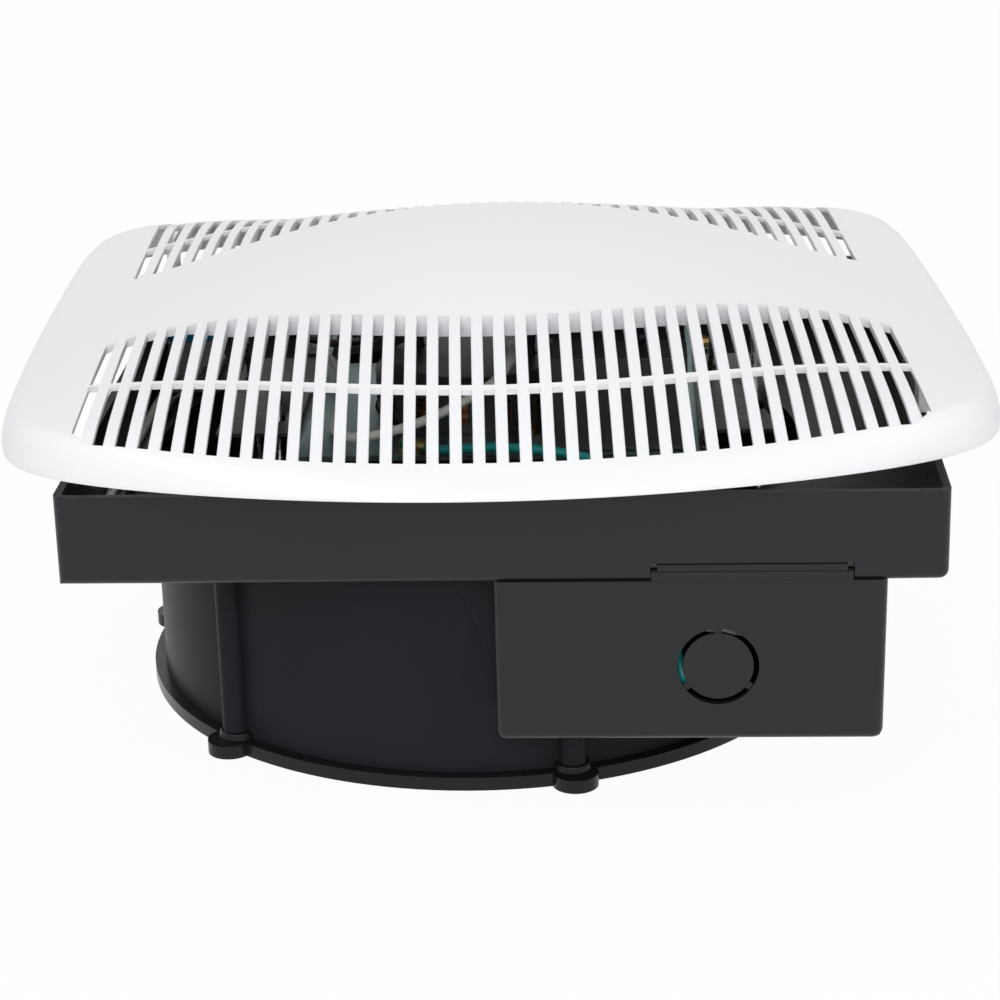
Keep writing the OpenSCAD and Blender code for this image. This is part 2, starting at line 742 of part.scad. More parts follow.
module flap(s) {
    plate_z0 = damper_z + damper_pin_r + run_gap;
    difference() {
        union() {
            intersection() {
                translate([0, 0, plate_z0]) cylinder(r = flap_r, h = flap_t);
                translate([-ring_r, s > 0 ? 0.5 : -ring_r - 0.5, plate_z0 - 1])
                    cube([2 * ring_r, ring_r, flap_t + 2]);
            }
            for (i = [0 : 3])
                if (own_knuckle(i, s))
                    translate([knuckle_x[i], 0, damper_z]) rotate([0, 90, 0])
                        cylinder(r = knuckle_r, h = knuckle_w, center = true, $fn = 48);
        }
        for (i = [0 : 3])
            if (!own_knuckle(i, s))
                translate([knuckle_x[i] - knuckle_w / 2 - 1, -knuckle_r - 1, damper_z - 5])
                    cube([knuckle_w + 2, 2 * knuckle_r + 2, 10]);
        translate([-spring_half - 1, -knuckle_r - 2.5, damper_z - 5])
            cube([2 * spring_half + 2, 2 * knuckle_r + 5, 10]);
        translate([0, 0, damper_z]) rotate([0, 90, 0])
            cylinder(r = damper_pin_r + run_gap, h = 2 * ring_r, center = true, $fn = 48);
    }
}

module flap_front() {
    color([0.72, 0.73, 0.75]) flap(-1);
}

module flap_back() {
    color([0.72, 0.73, 0.75]) flap(1);
}

// Torsion spring between the flaps, its ends tucked along the pin
spring_half = 9;
damper_wire_r = 0.5;
damper_turns = 8;
damper_run = 2 * spring_half - 4;
module damper_spring() {
    color([0.7, 0.7, 0.72])
        helix([0, 0, damper_z], damper_pin_r + damper_wire_r + 0.6, damper_wire_r, damper_run,
            damper_turns, 8, 90);
}

// Tube of a helix about an axis along X, turned by rule
function helix_point(at, r, run, turns, t) =
    [at[0] - run / 2 + run * t, at[1] + r * cos(360 * turns * t), at[2] + r * sin(360 * turns * t)];

function unit(v) = v / norm(v);

function ring_at(p, t, up, r, sides) =
    let (a = unit(cross(up, t)), b = cross(t, a))
    [for (k = [0 : sides - 1]) p + r * (cos(360 * k / sides) * a + sin(360 * k / sides) * b)];

function tangents(pts) =
    [for (i = [0 : len(pts) - 1])
        unit(pts[min(i + 1, len(pts) - 1)] - pts[max(i - 1, 0)])];

// Closed tube through a list of points, with one ring at each point
module sweep(pts, ups, r, sides) {
    n = len(pts);
    tans = tangents(pts);
    rings = [for (i = [0 : n - 1]) each ring_at(pts[i], tans[i], ups[i], r, sides)];
    walls = [for (i = [0 : n - 2], k = [0 : sides - 1])
        let (a = i * sides + k, b = i * sides + (k + 1) % sides)
        each [[a, a + sides, b], [b, a + sides, b + sides]]];
    first = [for (k = [1 : sides - 2]) [0, k, k + 1]];
    last = [for (k = [1 : sides - 2])
        [(n - 1) * sides, (n - 1) * sides + k + 1, (n - 1) * sides + k]];
    polyhedron(rings, concat(walls, first, last));
}

// Least gap between a coil's wire and itself, measured on its points
function self_gap(p, r, skip) =
    min([for (i = [0 : len(p) - 1 - skip], j = [i + skip : len(p) - 1]) norm(p[i] - p[j])]) - 2 * r;

module helix(at, r, wire, run, turns, steps, start) {
    n = ceil(turns * steps);
    pts = [for (i = [0 : n]) helix_point([0, 0, 0], r, run, turns, i / n)];
    echo(coil_gap = self_gap(pts, wire, ceil(steps / 2)));
    translate(at) rotate([start, 0, 0])
        sweep(pts, [for (p = pts) [0, p[1], p[2]]], wire, 6);
}

// Smooth route through hand-chosen points
function curve(p0, p1, p2, p3, t) =
    0.5 * (2 * p1 + (p2 - p0) * t + (2 * p0 - 5 * p1 + 4 * p2 - p3) * t * t
        + (3 * p1 - p0 - 3 * p2 + p3) * t * t * t);

function route(p, steps) =
    let (n = len(p) - 1)
    concat([for (i = [0 : n - 1], k = [0 : steps - 1])
        curve(p[max(i - 1, 0)], p[i], p[i + 1], p[min(i + 2, n)], k / steps)], [p[n]]);

module lead(p, up, steps) {
    pts = route(p, steps);
    sweep(pts, [for (q = pts) up], lead_r, 8);
}

// Capacitor standing on the plate, with one screw ear
cap_at = [42.5, -29.2 - cap_d / 2];
cap_ear = [cap_at[0] - cap_w / 2 - 4, cap_at[1]];
cap_z = plate_top + seat_gap / 2;
module capacitor() {
    color([0.21, 0.22, 0.23]) translate([0, 0, cap_z]) difference() {
        union() {
            translate(cap_at) linear_extrude(cap_h) round_plan(cap_w, cap_d, 2);
            translate([cap_ear[0] + 2, cap_ear[1]]) linear_extrude(3) round_plan(12, 8, 2);
        }
        translate([cap_ear[0], cap_ear[1], -1]) cylinder(r = 1.7, h = 5, $fn = 48);
    }
}

module capacitor_screw() {
    color(brass) translate([cap_ear[0], cap_ear[1], cap_z + 3 + eps])
        pan_screw(2.8, 2, 1.5, plate_t + 4);
}

// Ground screw and the ring lug of the green lead
ground_at = [-18, -44];
lug_t = 0.8;
lug_turn = -45;
lug_barrel = [2.2, 1.75];
module ground_screw() {
    color([0.15, 0.5, 0.3])
        translate([ground_at[0], ground_at[1], plate_top + seat_gap + lug_t + eps])
            pan_screw(3.2, 2.6, 1.5, plate_t + 3);
}

module ground_lug() {
    color(brass) translate([ground_at[0], ground_at[1], plate_top + seat_gap / 2]) difference() {
        union() {
            cylinder(r = 3.6, h = lug_t, $fn = 48);
            rotate(lug_turn) translate([2, -1.6, 0]) cube([4, 3.2, lug_t]);
            rotate(lug_turn) translate([4.6, 0, lug_barrel[0]]) rotate([0, 90, 0])
                cylinder(r = lug_barrel[0], h = 4, $fn = 48);
        }
        translate([0, 0, -1]) cylinder(r = 1.7, h = 4, $fn = 48);
        rotate(lug_turn) translate([4, 0, lug_barrel[0]]) rotate([0, 90, 0])
            cylinder(r = lug_barrel[1], h = 6, $fn = 48);
    }
}

// Leads, made whole along their real routes
lead_top = bell_top - 3;
plug_top = floor_z + seat_gap + recept_h + plug_gap + 8;
lead_gap = 3.5;
lug_end = plate_top + seat_gap / 2 + lug_barrel[0];
nut_z = jbox_z + jbox_wall + 16;
nut_y = front_y + 14;
nut_at = [[52, nut_y, nut_z], [70, nut_y + 2, nut_z], [88, nut_y, nut_z]];
plug_x = recept_at[0] + 2.5;
white_route = [[plug_x, 66, plug_top + 0.4], [plug_x, 66, plug_top + 6], [plug_x + 5, 63, plug_top + 9],
    [-72, 56, plate_top + 12], [-56, 46, plate_top + 6], [-45, 22, plate_top + 3.5],
    [-42, -14, plate_top + 2.5], [-41, -34, plate_top + 2.4], [-32, -45, plate_top + 4],
    [-17, -48, plate_top + 8.5], [-4, -47, plate_top + 14], [7, -44, bell_top + 4],
    [12, -36, bell_top + 8.5], [12, -22, bell_top + 8.5], [10, -11, bell_top + 4],
    [10, -10, lead_top]];
black_route = [[plug_x, 57, plug_top + 0.4], [plug_x, 57, plug_top + 4.5], [-85, 54, plug_top + 6.5],
    [-66, 46, plate_top + 11], [-50, 36, plate_top + 9], [-38, 26, plate_top + 12],
    [-28, 16, bell_top + 3], [-20, 9, bell_top + 5.5], [-18, 8, bell_top + 3], [-18, 8, lead_top]];
cap_top = cap_z + cap_h + 0.1;
blue_routes = [
    [[34, -34, cap_top + 0.5], [34, -34, cap_top + 4], [31, -22, bell_top + 19], [20, -3, bell_top + 14],
        [17, -1, bell_top + 6], [17, -1, lead_top]],
    [[50, -34, cap_top + 0.5], [50, -34, cap_top + 4], [45, -16, bell_top + 17],
        [25, 5, bell_top + 11], [14, 7, bell_top + 5], [14, 7, lead_top]]];
green_route = [
    [ground_at[0] + 6 * cos(lug_turn), ground_at[1] + 6 * sin(lug_turn), lug_end],
    [ground_at[0] + 11 * cos(lug_turn), ground_at[1] + 11 * sin(lug_turn), lug_end],
    [-4, -58, plate_top + 4.5], [12, -67, plate_top + 8], [34, -76, plate_top + 8],
    [51, -86, plate_top + 3], green_hole, green_hole - [0, 8, 2.4],
    [58, nut_y + 1, chamber_h - 5], [57.5, nut_y + 1.5, chamber_h - 15],
    [knockout_x - 9.9, nut_y - 9.3, knockout_z - 3.4], [knockout_x - 7, nut_y - 8, knockout_z - 6],
    [knockout_x - 2, nut_y - 3, nut_z + 4.5], nut_at[1] + [-0.3, 0, 4], nut_at[1] - [0, 0, 5]];
module lead_white() {
    color([0.86, 0.86, 0.84]) lead(white_route, [0.1, 0.3, -1], 4);
}

module lead_black() {
    color([0.06, 0.06, 0.06]) lead(black_route, [0.3, 1, 0.2], 4);
}

module lead_green() {
    color([0.05, 0.5, 0.45]) lead(green_route, [1, 0.4, 0.1], 4);
}

module lead_blue() {
    color([0.1, 0.3, 0.6]) for (p = blue_routes)
        lead(p, [1, 0.3, 0.1], 4);
}

supply_z = floor_z + lead_r + seat_gap;
supply_x = tray_shift - tray_in + lead_r + 0.45;
supply_y = -tray_in + lead_r + 0.45;

// Both supply leads lie side by side along the tray's walls, k = 0 outside
function supply_route(k) =
    let (d = k * lead_gap, x = supply_x + d, y = supply_y + d, z = supply_z,
        start = recept_at[0] - 5 + 10 * k, hole_y = supply_hole[1] - lead_gap / 2 + d)
    [[start, recept_at[1] - recept_d / 2 - 0.2, z + 4.2],
        [start, recept_at[1] - recept_d / 2 - 9, z + 3.6],
        [(start + 2 * x) / 3, 30, z + 0.8], [x, 20, z], [x, -30, z], [x, -72, z],
        [x + 1, -88 + d, z], [x + 5.5, y + 11.5, z], [x + 14, y + 3.2, z], [x + 28, y + 0.3, z],
        [x + 54, y, z], [-20, y, z], [-2, (y + hole_y) / 2, z + 0.8], [8, hole_y, z + 3.4],
        [supply_hole[0], hole_y, supply_hole[2]]];
white_tail = [[27, supply_hole[1] - 1.2, supply_hole[2] - 0.4], [41, front_y + 11, floor_z + 0.5],
    [49, front_y + 12, chamber_h - 7], [64, front_y + 8, chamber_h - 16],
    [80, front_y + 10, nut_z + 10], [87, nut_y, nut_z + 5], nut_at[2] - [0, 0, 5]];
black_tail = [[24, supply_hole[1] + 2.2, supply_hole[2] - 0.8], [32, front_y + 12.5, floor_z - 0.5],
    [38, front_y + 13.5, chamber_h - 8], [46, nut_y, chamber_h - 17], [51.5, nut_y, nut_z + 6],
    nut_at[0] - [0, 0, 5]];
module supply_lead_white() {
    color([0.86, 0.86, 0.84]) lead(concat(supply_route(0), white_tail), [0.05, 0.1, 1], 3);
}

module supply_lead_black() {
    color([0.06, 0.06, 0.06]) lead(concat(supply_route(1), black_tail), [0.05, 0.1, 1], 3);
}

// Wire nuts with their mouths up, each round the end of a lead
nut_h = [5, 10];
module wire_nuts() {
    color([0.12, 0.12, 0.13]) for (p = nut_at)
        translate(p - [0, 0, nut_h[0] + nut_h[1]]) difference() {
            union() {
                cylinder(r1 = 2.6, r2 = 4, h = nut_h[0], $fn = 48);
                translate([0, 0, nut_h[0] - eps]) cylinder(r1 = 4, r2 = 5, h = nut_h[1], $fn = 48);
            }
            translate([0, 0, nut_h[0] + nut_h[1] - 8]) cylinder(r = lead_r + 0.5, h = 10, $fn = 48);
        }
}

// Grille surface: a crown of even powers, rolled over at its edge.
// Heights are above the tray's rim, u and v run in steps of 100 mm.
crown_x = 18.65;
crown_y = 14.8;
crown_xy = 10.9;
crown_x4 = 2;
crown_y4 = 0.65;
roll_w = 6;
corner_n = 12;
slot_count = 38;
rib_y = [101.8, -26.7, 4.3];
in_y = [66, -51.3, 21.8];
out_y = [131.1, -7.7, -2.9];

function side_at(y) = grille_hx - y * y / (2 * side_bow_r);
function front_at(x) = grille_hy - x * x / (2 * front_bow_r);
function edge_y(x, k = 4, y = 100) =
    let (f = front_at(x) * pow(1 - pow(abs(x) / side_at(y), corner_n), 1 / corner_n))
    k == 0 ? f : edge_y(x, k - 1, f);
function edge_x(y, k = 4, x = 100) =
    let (f = side_at(y) * pow(1 - pow(abs(y) / front_at(x), corner_n), 1 / corner_n))
    k == 0 ? f : edge_x(y, k - 1, f);
function corner_at(k = 8, p = [120, 110]) =
    let (c = pow(0.5, 1 / corner_n))
    k == 0 ? p : corner_at(k - 1, [c * side_at(p[1]), c * front_at(p[0])]);

function crown(x, y) =
    let (u = x * x / 1e4, v = y * y / 1e4)
    dome_h - crown_x * u - crown_y * v + crown_xy * u * v + crown_x4 * u * u - crown_y4 * v * v;
function rho(x, y) =
    pow(pow(abs(x) / side_at(y), corner_n) + pow(abs(y) / front_at(x), corner_n), 1 / corner_n);
function roll(x, y) =
    let (t = max(0, min(1, (1 - rho(x, y)) * grille_hx / roll_w)))
    sqrt(1 - (1 - t) * (1 - t));
function surf(x, y) = rim_gap + (crown(x, y) - rim_gap) * roll(x, y);

function bow(k, x) = let (u = x * x / 1e4) k[0] + k[1] * u + k[2] * u * u;
x_last = slot_pitch * (slot_count - 1) / 2 + slot_w / 2;
slot_x = [for (i = [0 : slot_count - 1], s = [-1, 1])
    slot_pitch * (i - (slot_count - 1) / 2) + s * slot_w / 2];
margin_u = [0.4, 0.75, 0.94, 0.985, 1];
corner = corner_at();
edge_t = [0.6, 0.25, 0.06];
side_share = [0.87, 0.94, 0.975, 0.993];

// Row lines from the middle to the edge, for one half
function row_line(j, x) =
    j == 0 ? 0 :
    j == 1 ? 0.5 * bow(in_y, x) :
    j == 2 ? bow(in_y, x) :
    j == 3 ? bow(rib_y, x) - rib_w / 2 :
    j == 4 ? bow(rib_y, x) + rib_w / 2 :
    j == 5 ? min(bow(out_y, x) - max(0, abs(x) - x_last + end_cut), edge_y(x) - 3) :
    j < last_row ? edge_y(x) * (1 - edge_t[j - 6] * roll_w / grille_hx) :
    edge_y(x);
last_row = 9;
end_cut = 4.4;
row_n = 2 * last_row + 1;
margin_n = len(margin_u);
col_n = len(slot_x) + 2 * margin_n;
corner_k = corner[1] / edge_y(x_last);

function side_vertex(j, u) =
    let (y0 = row_line(j, x_last), y1 = j < 5 ? y0 * corner_k : corner[1] * side_share[min(j, 8) - 5])
    j == last_row ? let (x = x_last + (corner[0] - x_last) * u) [x, edge_y(x)]
        : [x_last + (edge_x(y1) - x_last) * u, y0 + (y1 - y0) * u];
function plan_vertex(i, j) =
    let (s = j < last_row ? -1 : 1, k = abs(j - last_row), m = margin_n, c = len(slot_x))
    i >= m && i < m + c ? [slot_x[i - m], s * row_line(k, slot_x[i - m])] :
    let (right = i >= m + c, v = side_vertex(k, margin_u[right ? i - m - c : m - 1 - i]))
    [right ? v[0] : -v[0], s * v[1]];

function margin_level(i) =
    i < margin_n ? margin_u[margin_n - 1 - i] :
    i >= col_n - margin_n ? margin_u[i - col_n + margin_n] : 0;
function edge_level(i, j) =
    let (k = abs(j - last_row), m = margin_level(i))
    (k == last_row || m == 1) ? 2 : (k > 5 || m > 0.9) ? 1 : 0;

// Depth of the panel at a grid point: deep where the bars leave the band
function band_share(x) =
    let (t = max(0, min(1, (0.83 - abs(x) / x_last) / 0.2)))
    t * t * (3 - 2 * t);
function depth_at(i, j) =
    let (k = abs(j - last_row))
    margin_level(i) > 0 || k < 2 || k > 5 ? skin_t :
    k == 2 ? skin_t + (band_depth - skin_t) * band_share(slot_x[i - margin_n]) :
    bar_depth;

function top_vertex(i, j) =
    let (p = plan_vertex(i, j))
    [p[0], p[1], rim_z + surf(p[0], p[1])];
function low_vertex(i, j) =
    let (p = plan_vertex(i, j), e = edge_level(i, j),
        q = p * (1 - (e == 2 ? skin_t : e == 1 ? skin_t * 0.4 : 0) / grille_hx))
    [q[0], q[1], rim_z + (e == 2 ? rim_gap : surf(q[0], q[1]) - depth_at(i, j))];

function is_slot(i, j) =
    let (c = i - margin_n, k = j < last_row ? last_row - 1 - j : j - last_row)
    c >= 0 && c < len(slot_x) && c % 2 == 0 && (k == 2 || k == 4);
function filled(i, j) =
    i >= 0 && j >= 0 && i < col_n - 1 && j < row_n - 1 && !is_slot(i, j);
function quad(a, b, c, d) = [[a, b, c], [a, c, d]];

module grille_shell() {
    n = col_n * row_n;
    tops = [for (i = [0 : col_n - 1], j = [0 : row_n - 1]) top_vertex(i, j)];
    lows = [for (i = [0 : col_n - 1], j = [0 : row_n - 1]) low_vertex(i, j)];
    function id(i, j) = i * row_n + j;
    sheets = [for (i = [0 : col_n - 2], j = [0 : row_n - 2])
        if (filled(i, j))
            let (a = id(i, j), b = id(i, j + 1), c = id(i + 1, j + 1), d = id(i + 1, j))
            each concat(quad(a, b, c, d), quad(n + a, n + d, n + c, n + b))];
    ends = [for (i = [0 : col_n - 1], j = [0 : row_n - 2])
        let (left = filled(i - 1, j), right = filled(i, j), a = id(i, j), b = id(i, j + 1))
        if (left != right)
            each left ? quad(a, b, n + b, n + a) : quad(b, a, n + a, n + b)];
    flanks = [for (i = [0 : col_n - 2], j = [0 : row_n - 1])
        let (near = filled(i, j - 1), far = filled(i, j), a = id(i, j), b = id(i + 1, j))
        if (near != far)
            each near ? quad(b, a, n + a, n + b) : quad(a, b, n + b, n + a)];
    polyhedron(concat(tops, lows), concat(sheets, ends, flanks), convexity = 8);
}

// Wall between two plan points whose top follows the grille's skin
module skin_wall(p, q, t, z) {
    n = 6;
    d = q - p;
    len_pq = norm(d);
    up = [for (i = [n : -1 : 0])
        let (c = p + d * i / n)
        [len_pq * i / n, rim_z + surf(c[0], c[1]) - skin_t * 0.7 - z]];
    translate([p[0], p[1], z]) rotate(atan2(d[1], d[0])) translate([0, t / 2, 0])
        rotate([90, 0, 0]) linear_extrude(t) polygon(concat([[0, 0], [len_pq, 0]], up));
}

// Two webs and a pin that hold one spring
web_t = 1.6;
web_z = spring_z - 3.5;
web_half = 7;
web_gap = 8.5;
module spring_seat(side) {
    for (x = [side * spring_x - web_gap, side * spring_x + web_gap])
        skin_wall([x, -web_half], [x, web_half], web_t, web_z);
    translate([side * spring_x, 0, spring_z]) rotate([0, 90, 0])
        cylinder(r = spring_pin_r, h = 2 * web_gap, center = true, $fn = 48);
}

// Posts that seat the grille on the tray's side walls, each a side and a y
seat_post = [3, 10];
seat_places = [[-1, 34], [-1, 95], [1, -50], [1, 50]];
module seat_posts() {
    for (q = seat_places) {
        p = [tray_shift + q[0] * (housing_w - wall) / 2, q[1]];
        g = to_grille(p);
        z = rim_z + seat_gap;
        translate([p[0] - seat_post[0] / 2, p[1] - seat_post[1] / 2, z])
            cube([seat_post[0], seat_post[1], rim_z + surf(g[0], g[1]) - skin_t * 0.6 - z]);
    }
}

module grille() {
    color(white_plastic) union() {
        in_grille() {
            grille_shell();
            spring_seat(-1);
            spring_seat(1);
        }
        seat_posts();
    }
}

// Torsion springs: a coil round each pin and two arms hinged on the pin
coil_run = 2 * (arm_gap - 2 * wire_r - soft_gap);
coil_turns = coil_run / (2 * wire_r + 0.55);
module spring_coils() {
    color([0.8, 0.8, 0.82]) in_grille() for (side = [-1, 1])
        helix([side * spring_x, 0, spring_z], spring_pin_r + wire_r + 0.5, wire_r,
            coil_run, coil_turns, 9, 0);
}

hook_l = 8;
hook_bend = 50;
module arm(side, sy) {
    color([0.8, 0.8, 0.82]) in_grille()
        translate([side * spring_x - sy * arm_gap, 0, spring_z]) {
            rotate([0, 90, 0]) difference() {
                cylinder(r = spring_pin_r + run_gap + 2 * wire_r, h = 2 * wire_r + 0.1, center = true, $fn = 48);
                cylinder(r = spring_pin_r + run_gap, h = 4 * wire_r, center = true, $fn = 48);
            }
            rotate([sy * arm_angle, 0, 0]) mirror([0, 0, 1]) {
                translate([0, 0, spring_pin_r + wire_r])
                    cylinder(r = wire_r, h = arm_len - spring_pin_r - wire_r, $fn = 24);
                translate([0, 0, arm_len]) {
                    sphere(r = 1.06 * wire_r, $fn = 24);
                    rotate([-sy * hook_bend, 0, 0]) cylinder(r = wire_r, h = hook_l, $fn = 24);
                }
            }
        }
}

module arm_left_front() {
    arm(-1, -1);
}

module arm_left_back() {
    arm(-1, 1);
}

module arm_right_front() {
    arm(1, -1);
}

module arm_right_back() {
    arm(1, 1);
}

housing();
fan_chamber();
discharge_ring();
ring_screws();
junction_box();
wiring_cover();
cover_screws();
receptacle();
receptacle_screws();
motor_plug();
motor_bracket();
bracket_screws();
spring_brackets();
spring_bracket_rivets();
rubber_mounts();
motor_screws();
motor_shell();
upper_end_bell();
lower_end_bell();
stator_core();
stator_windings();
upper_bearing();
lower_bearing();
capacitor();
capacitor_screw();
ground_screw();
ground_lug();
lead_white();
lead_black();
lead_green();
lead_blue();
supply_lead_white();
supply_lead_black();
wire_nuts();
damper_pin();
damper_spring();
motor_shaft();
rotor_core();
fan_blades();
hub_screw();
flap_front();
flap_back();
grille();
spring_coils();
arm_left_front();
arm_left_back();
arm_right_front();
arm_right_back();
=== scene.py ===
"""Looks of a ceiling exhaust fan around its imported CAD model.

The fan stands on its round discharge end, with the room grille on top and the
junction box at the front right. All lengths below are in millimetres in the
CAD's frame, and become metres when a mesh is finished.
"""

import logging
import math
from dataclasses import dataclass
from enum import Enum
from functools import cached_property
from typing import Sequence

import bmesh
import bpy
from bmesh.types import BMEdge, BMesh, BMVert
from bpy.types import Material, Modifier, NodeSocket, NodeTree, Object
from mathutils import Matrix, Vector


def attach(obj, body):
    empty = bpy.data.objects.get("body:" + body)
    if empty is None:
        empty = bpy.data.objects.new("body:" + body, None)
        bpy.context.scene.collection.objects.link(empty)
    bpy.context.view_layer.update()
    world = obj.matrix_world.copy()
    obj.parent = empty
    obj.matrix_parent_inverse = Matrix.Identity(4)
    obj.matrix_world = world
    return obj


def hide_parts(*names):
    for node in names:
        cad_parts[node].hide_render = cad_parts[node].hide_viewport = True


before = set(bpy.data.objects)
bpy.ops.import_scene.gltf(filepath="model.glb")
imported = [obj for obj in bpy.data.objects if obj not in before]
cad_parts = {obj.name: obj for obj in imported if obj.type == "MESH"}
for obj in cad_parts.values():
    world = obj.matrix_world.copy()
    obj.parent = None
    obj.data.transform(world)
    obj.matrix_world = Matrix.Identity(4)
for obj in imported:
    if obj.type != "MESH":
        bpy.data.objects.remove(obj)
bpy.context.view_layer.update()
LOG = logging.getLogger("exhaust_fan")

# Metres in a millimetre, and square millimetres in a square decimetre
MM = 0.001
DECIMETRE_SQUARED = 1e4

# Millimetres within which a vertex lies on a plane, or two are one
NEAR = 0.01
MERGE = 0.002

# Edges sharper than this are rounded
SHARP_DEG = 32.0

Colour = tuple[float, float, float]
Place = tuple[float, float, float]
Point = tuple[float, float]


class Body(Enum):
    """Names of the moving bodies that pieces ride on."""

    BOX = "box"
    ROTOR = "rotor"
    GRILLE = "grille_panel"


class Signal:
    """A shader socket that takes part in Python expressions."""

    def __init__(self, graph: "NodeGraph", socket: NodeSocket) -> None:
        """Wrap one output socket of a graph."""
        self.graph = graph
        self.socket = socket

    def sibling(self, name: str) -> "Signal":
        """Return another output of the same node."""
        return Signal(self.graph, self.socket.node.outputs[name])

    def peak(self, other: object) -> "Signal":
        """Return the larger of self and other."""
        return self._math("MAXIMUM", self, other)

    def _math(self, operation: str, first: object, second: object) -> "Signal":
        """Add one Math node and return its result."""
        return self.graph.add("ShaderNodeMath", {"operation": operation}, {0: first, 1: second})

    def __add__(self, other: object) -> "Signal":
        """Return self + other."""
        return self._math("ADD", self, other)

    __radd__ = __add__

    def __mul__(self, other: object) -> "Signal":
        """Return self * other."""
        return self._math("MULTIPLY", self, other)

    def __sub__(self, other: object) -> "Signal":
        """Return self - other."""
        return self._math("SUBTRACT", self, other)


class NodeGraph:
    """A node tree that nodes are added to by one method."""

    def __init__(self, tree: NodeTree) -> None:
        """Wrap a material's or world's tree."""
        self.tree = tree

    def add(self, kind: str, settings: dict[str, object], inputs: dict[object, object],
            output: object = 0) -> Signal:
        """Add a node.

        Args:
            kind: the node's type.
            settings: the node's own settings, set first.
            inputs: values or signals by socket name or number.
            output: name or number of the socket to return.

        Returns:
            The wanted output as a signal.
        """
        node = self.tree.nodes.new(kind)
        for key, value in settings.items():
            setattr(node, key, value)
        for key, value in inputs.items():
            self.feed(node.inputs[key], value)
        return Signal(self, node.outputs[output])

    def feed(self, socket: NodeSocket, value: object) -> None:
        """Link a signal to a socket, or set the socket's value."""
        if isinstance(value, Signal):
            self.tree.links.new(value.socket, socket)
        else:
            socket.default_value = value

    def seen_share(self) -> Signal:
        """Return 1 for camera, glossy and transmission rays, else 0."""
        path = self.add("ShaderNodeLightPath", {}, {}, "Is Camera Ray")
        return path.peak(path.sibling("Is Glossy Ray")).peak(path.sibling("Is Transmission Ray"))


class ShaderGraph(NodeGraph):
    """One material's nodes, built around its Principled shader."""

    def __init__(self, name: str) -> None:
        """Create the material with a single Principled shader."""
        self.material = bpy.data.materials.new(name)
        self.material.use_nodes = True
        super().__init__(self.material.node_tree)
        self.shader = self.tree.nodes["Principled BSDF"]

    def place(self, scale: Place = (1.0, 1.0, 1.0)) -> Signal:
        """Return object coordinates in metres, scaled along each axis."""
        coordinate = self.add("ShaderNodeTexCoord", {}, {}, "Object")
        return self.add("ShaderNodeMapping", {}, {"Vector": coordinate, "Scale": scale})

    def noise(self, at: Signal, scale: float, detail: float = 2.0) -> Signal:
        """Return fractal noise between 0 and 1."""
        return self.add("ShaderNodeTexNoise", {},
                        {"Vector": at, "Scale": scale, "Detail": detail}, "Fac")

    def mix(self, factor: object, first: Colour, second: Colour) -> Signal:
        """Return a mix of two colours."""
        return self.add("ShaderNodeMix", {"data_type": "RGBA"},
                        {0: factor, 6: (*first, 1.0), 7: (*second, 1.0)}, 2)

    def bump(self, height: Signal, depth_mm: float) -> None:
        """Feed a height to the shader's normal through one Bump node."""
        normal = self.add("ShaderNodeBump", {}, {"Height": height, "Strength": 1.0,
                                                "Distance": depth_mm * MM}, "Normal")
        self.feed(self.shader.inputs["Normal"], normal)

    def set(self, **values: object) -> None:
        """Feed the shader's own sockets, named with underscores for spaces."""
        for key, value in values.items():
            self.feed(self.shader.inputs[key.replace("_", " ")], value)


@dataclass(frozen=True)
class Surface:
    """Base of the finishes: a name, and nodes that each kind adds."""

    name: str

    def material(self) -> Material:
        """Build the material."""
        graph = ShaderGraph(self.name)
        self.paint(graph, graph.place())
        return graph.material

    def paint(self, graph: ShaderGraph, at: Signal) -> None:
        """Feed the shader, given object coordinates."""
        raise NotImplementedError


@dataclass(frozen=True)
class MouldedPlastic(Surface):
    """Injection-moulded plastic with a fine spark-eroded grain."""

    colour: Colour
    roughness: float
    spread: float = 0.08
    grain_mm: float = 0.35
    grain_depth_mm: float = 0.012
    specular: float = 0.5
    clouds_per_m: float = 28.0
    grain_swing: float = 0.08
    cloud_swing: float = 0.1

    def paint(self, graph: ShaderGraph, at: Signal) -> None:
        """Feed the shader."""
        cloud = graph.noise(at, self.clouds_per_m, 3.0)
        grain = graph.noise(at, 1000.0 / self.grain_mm)
        dark = tuple(c * (1.0 - self.spread) for c in self.colour)
        light = tuple(min(1.0, c * (1.0 + self.spread)) for c in self.colour)
        uneven = (grain - 0.5) * self.grain_swing + (cloud - 0.5) * self.cloud_swing
        graph.set(Base_Color=graph.mix(cloud, dark, light), Roughness=self.roughness + uneven,
                  Specular_IOR_Level=self.specular)
        graph.bump(grain, self.grain_depth_mm)


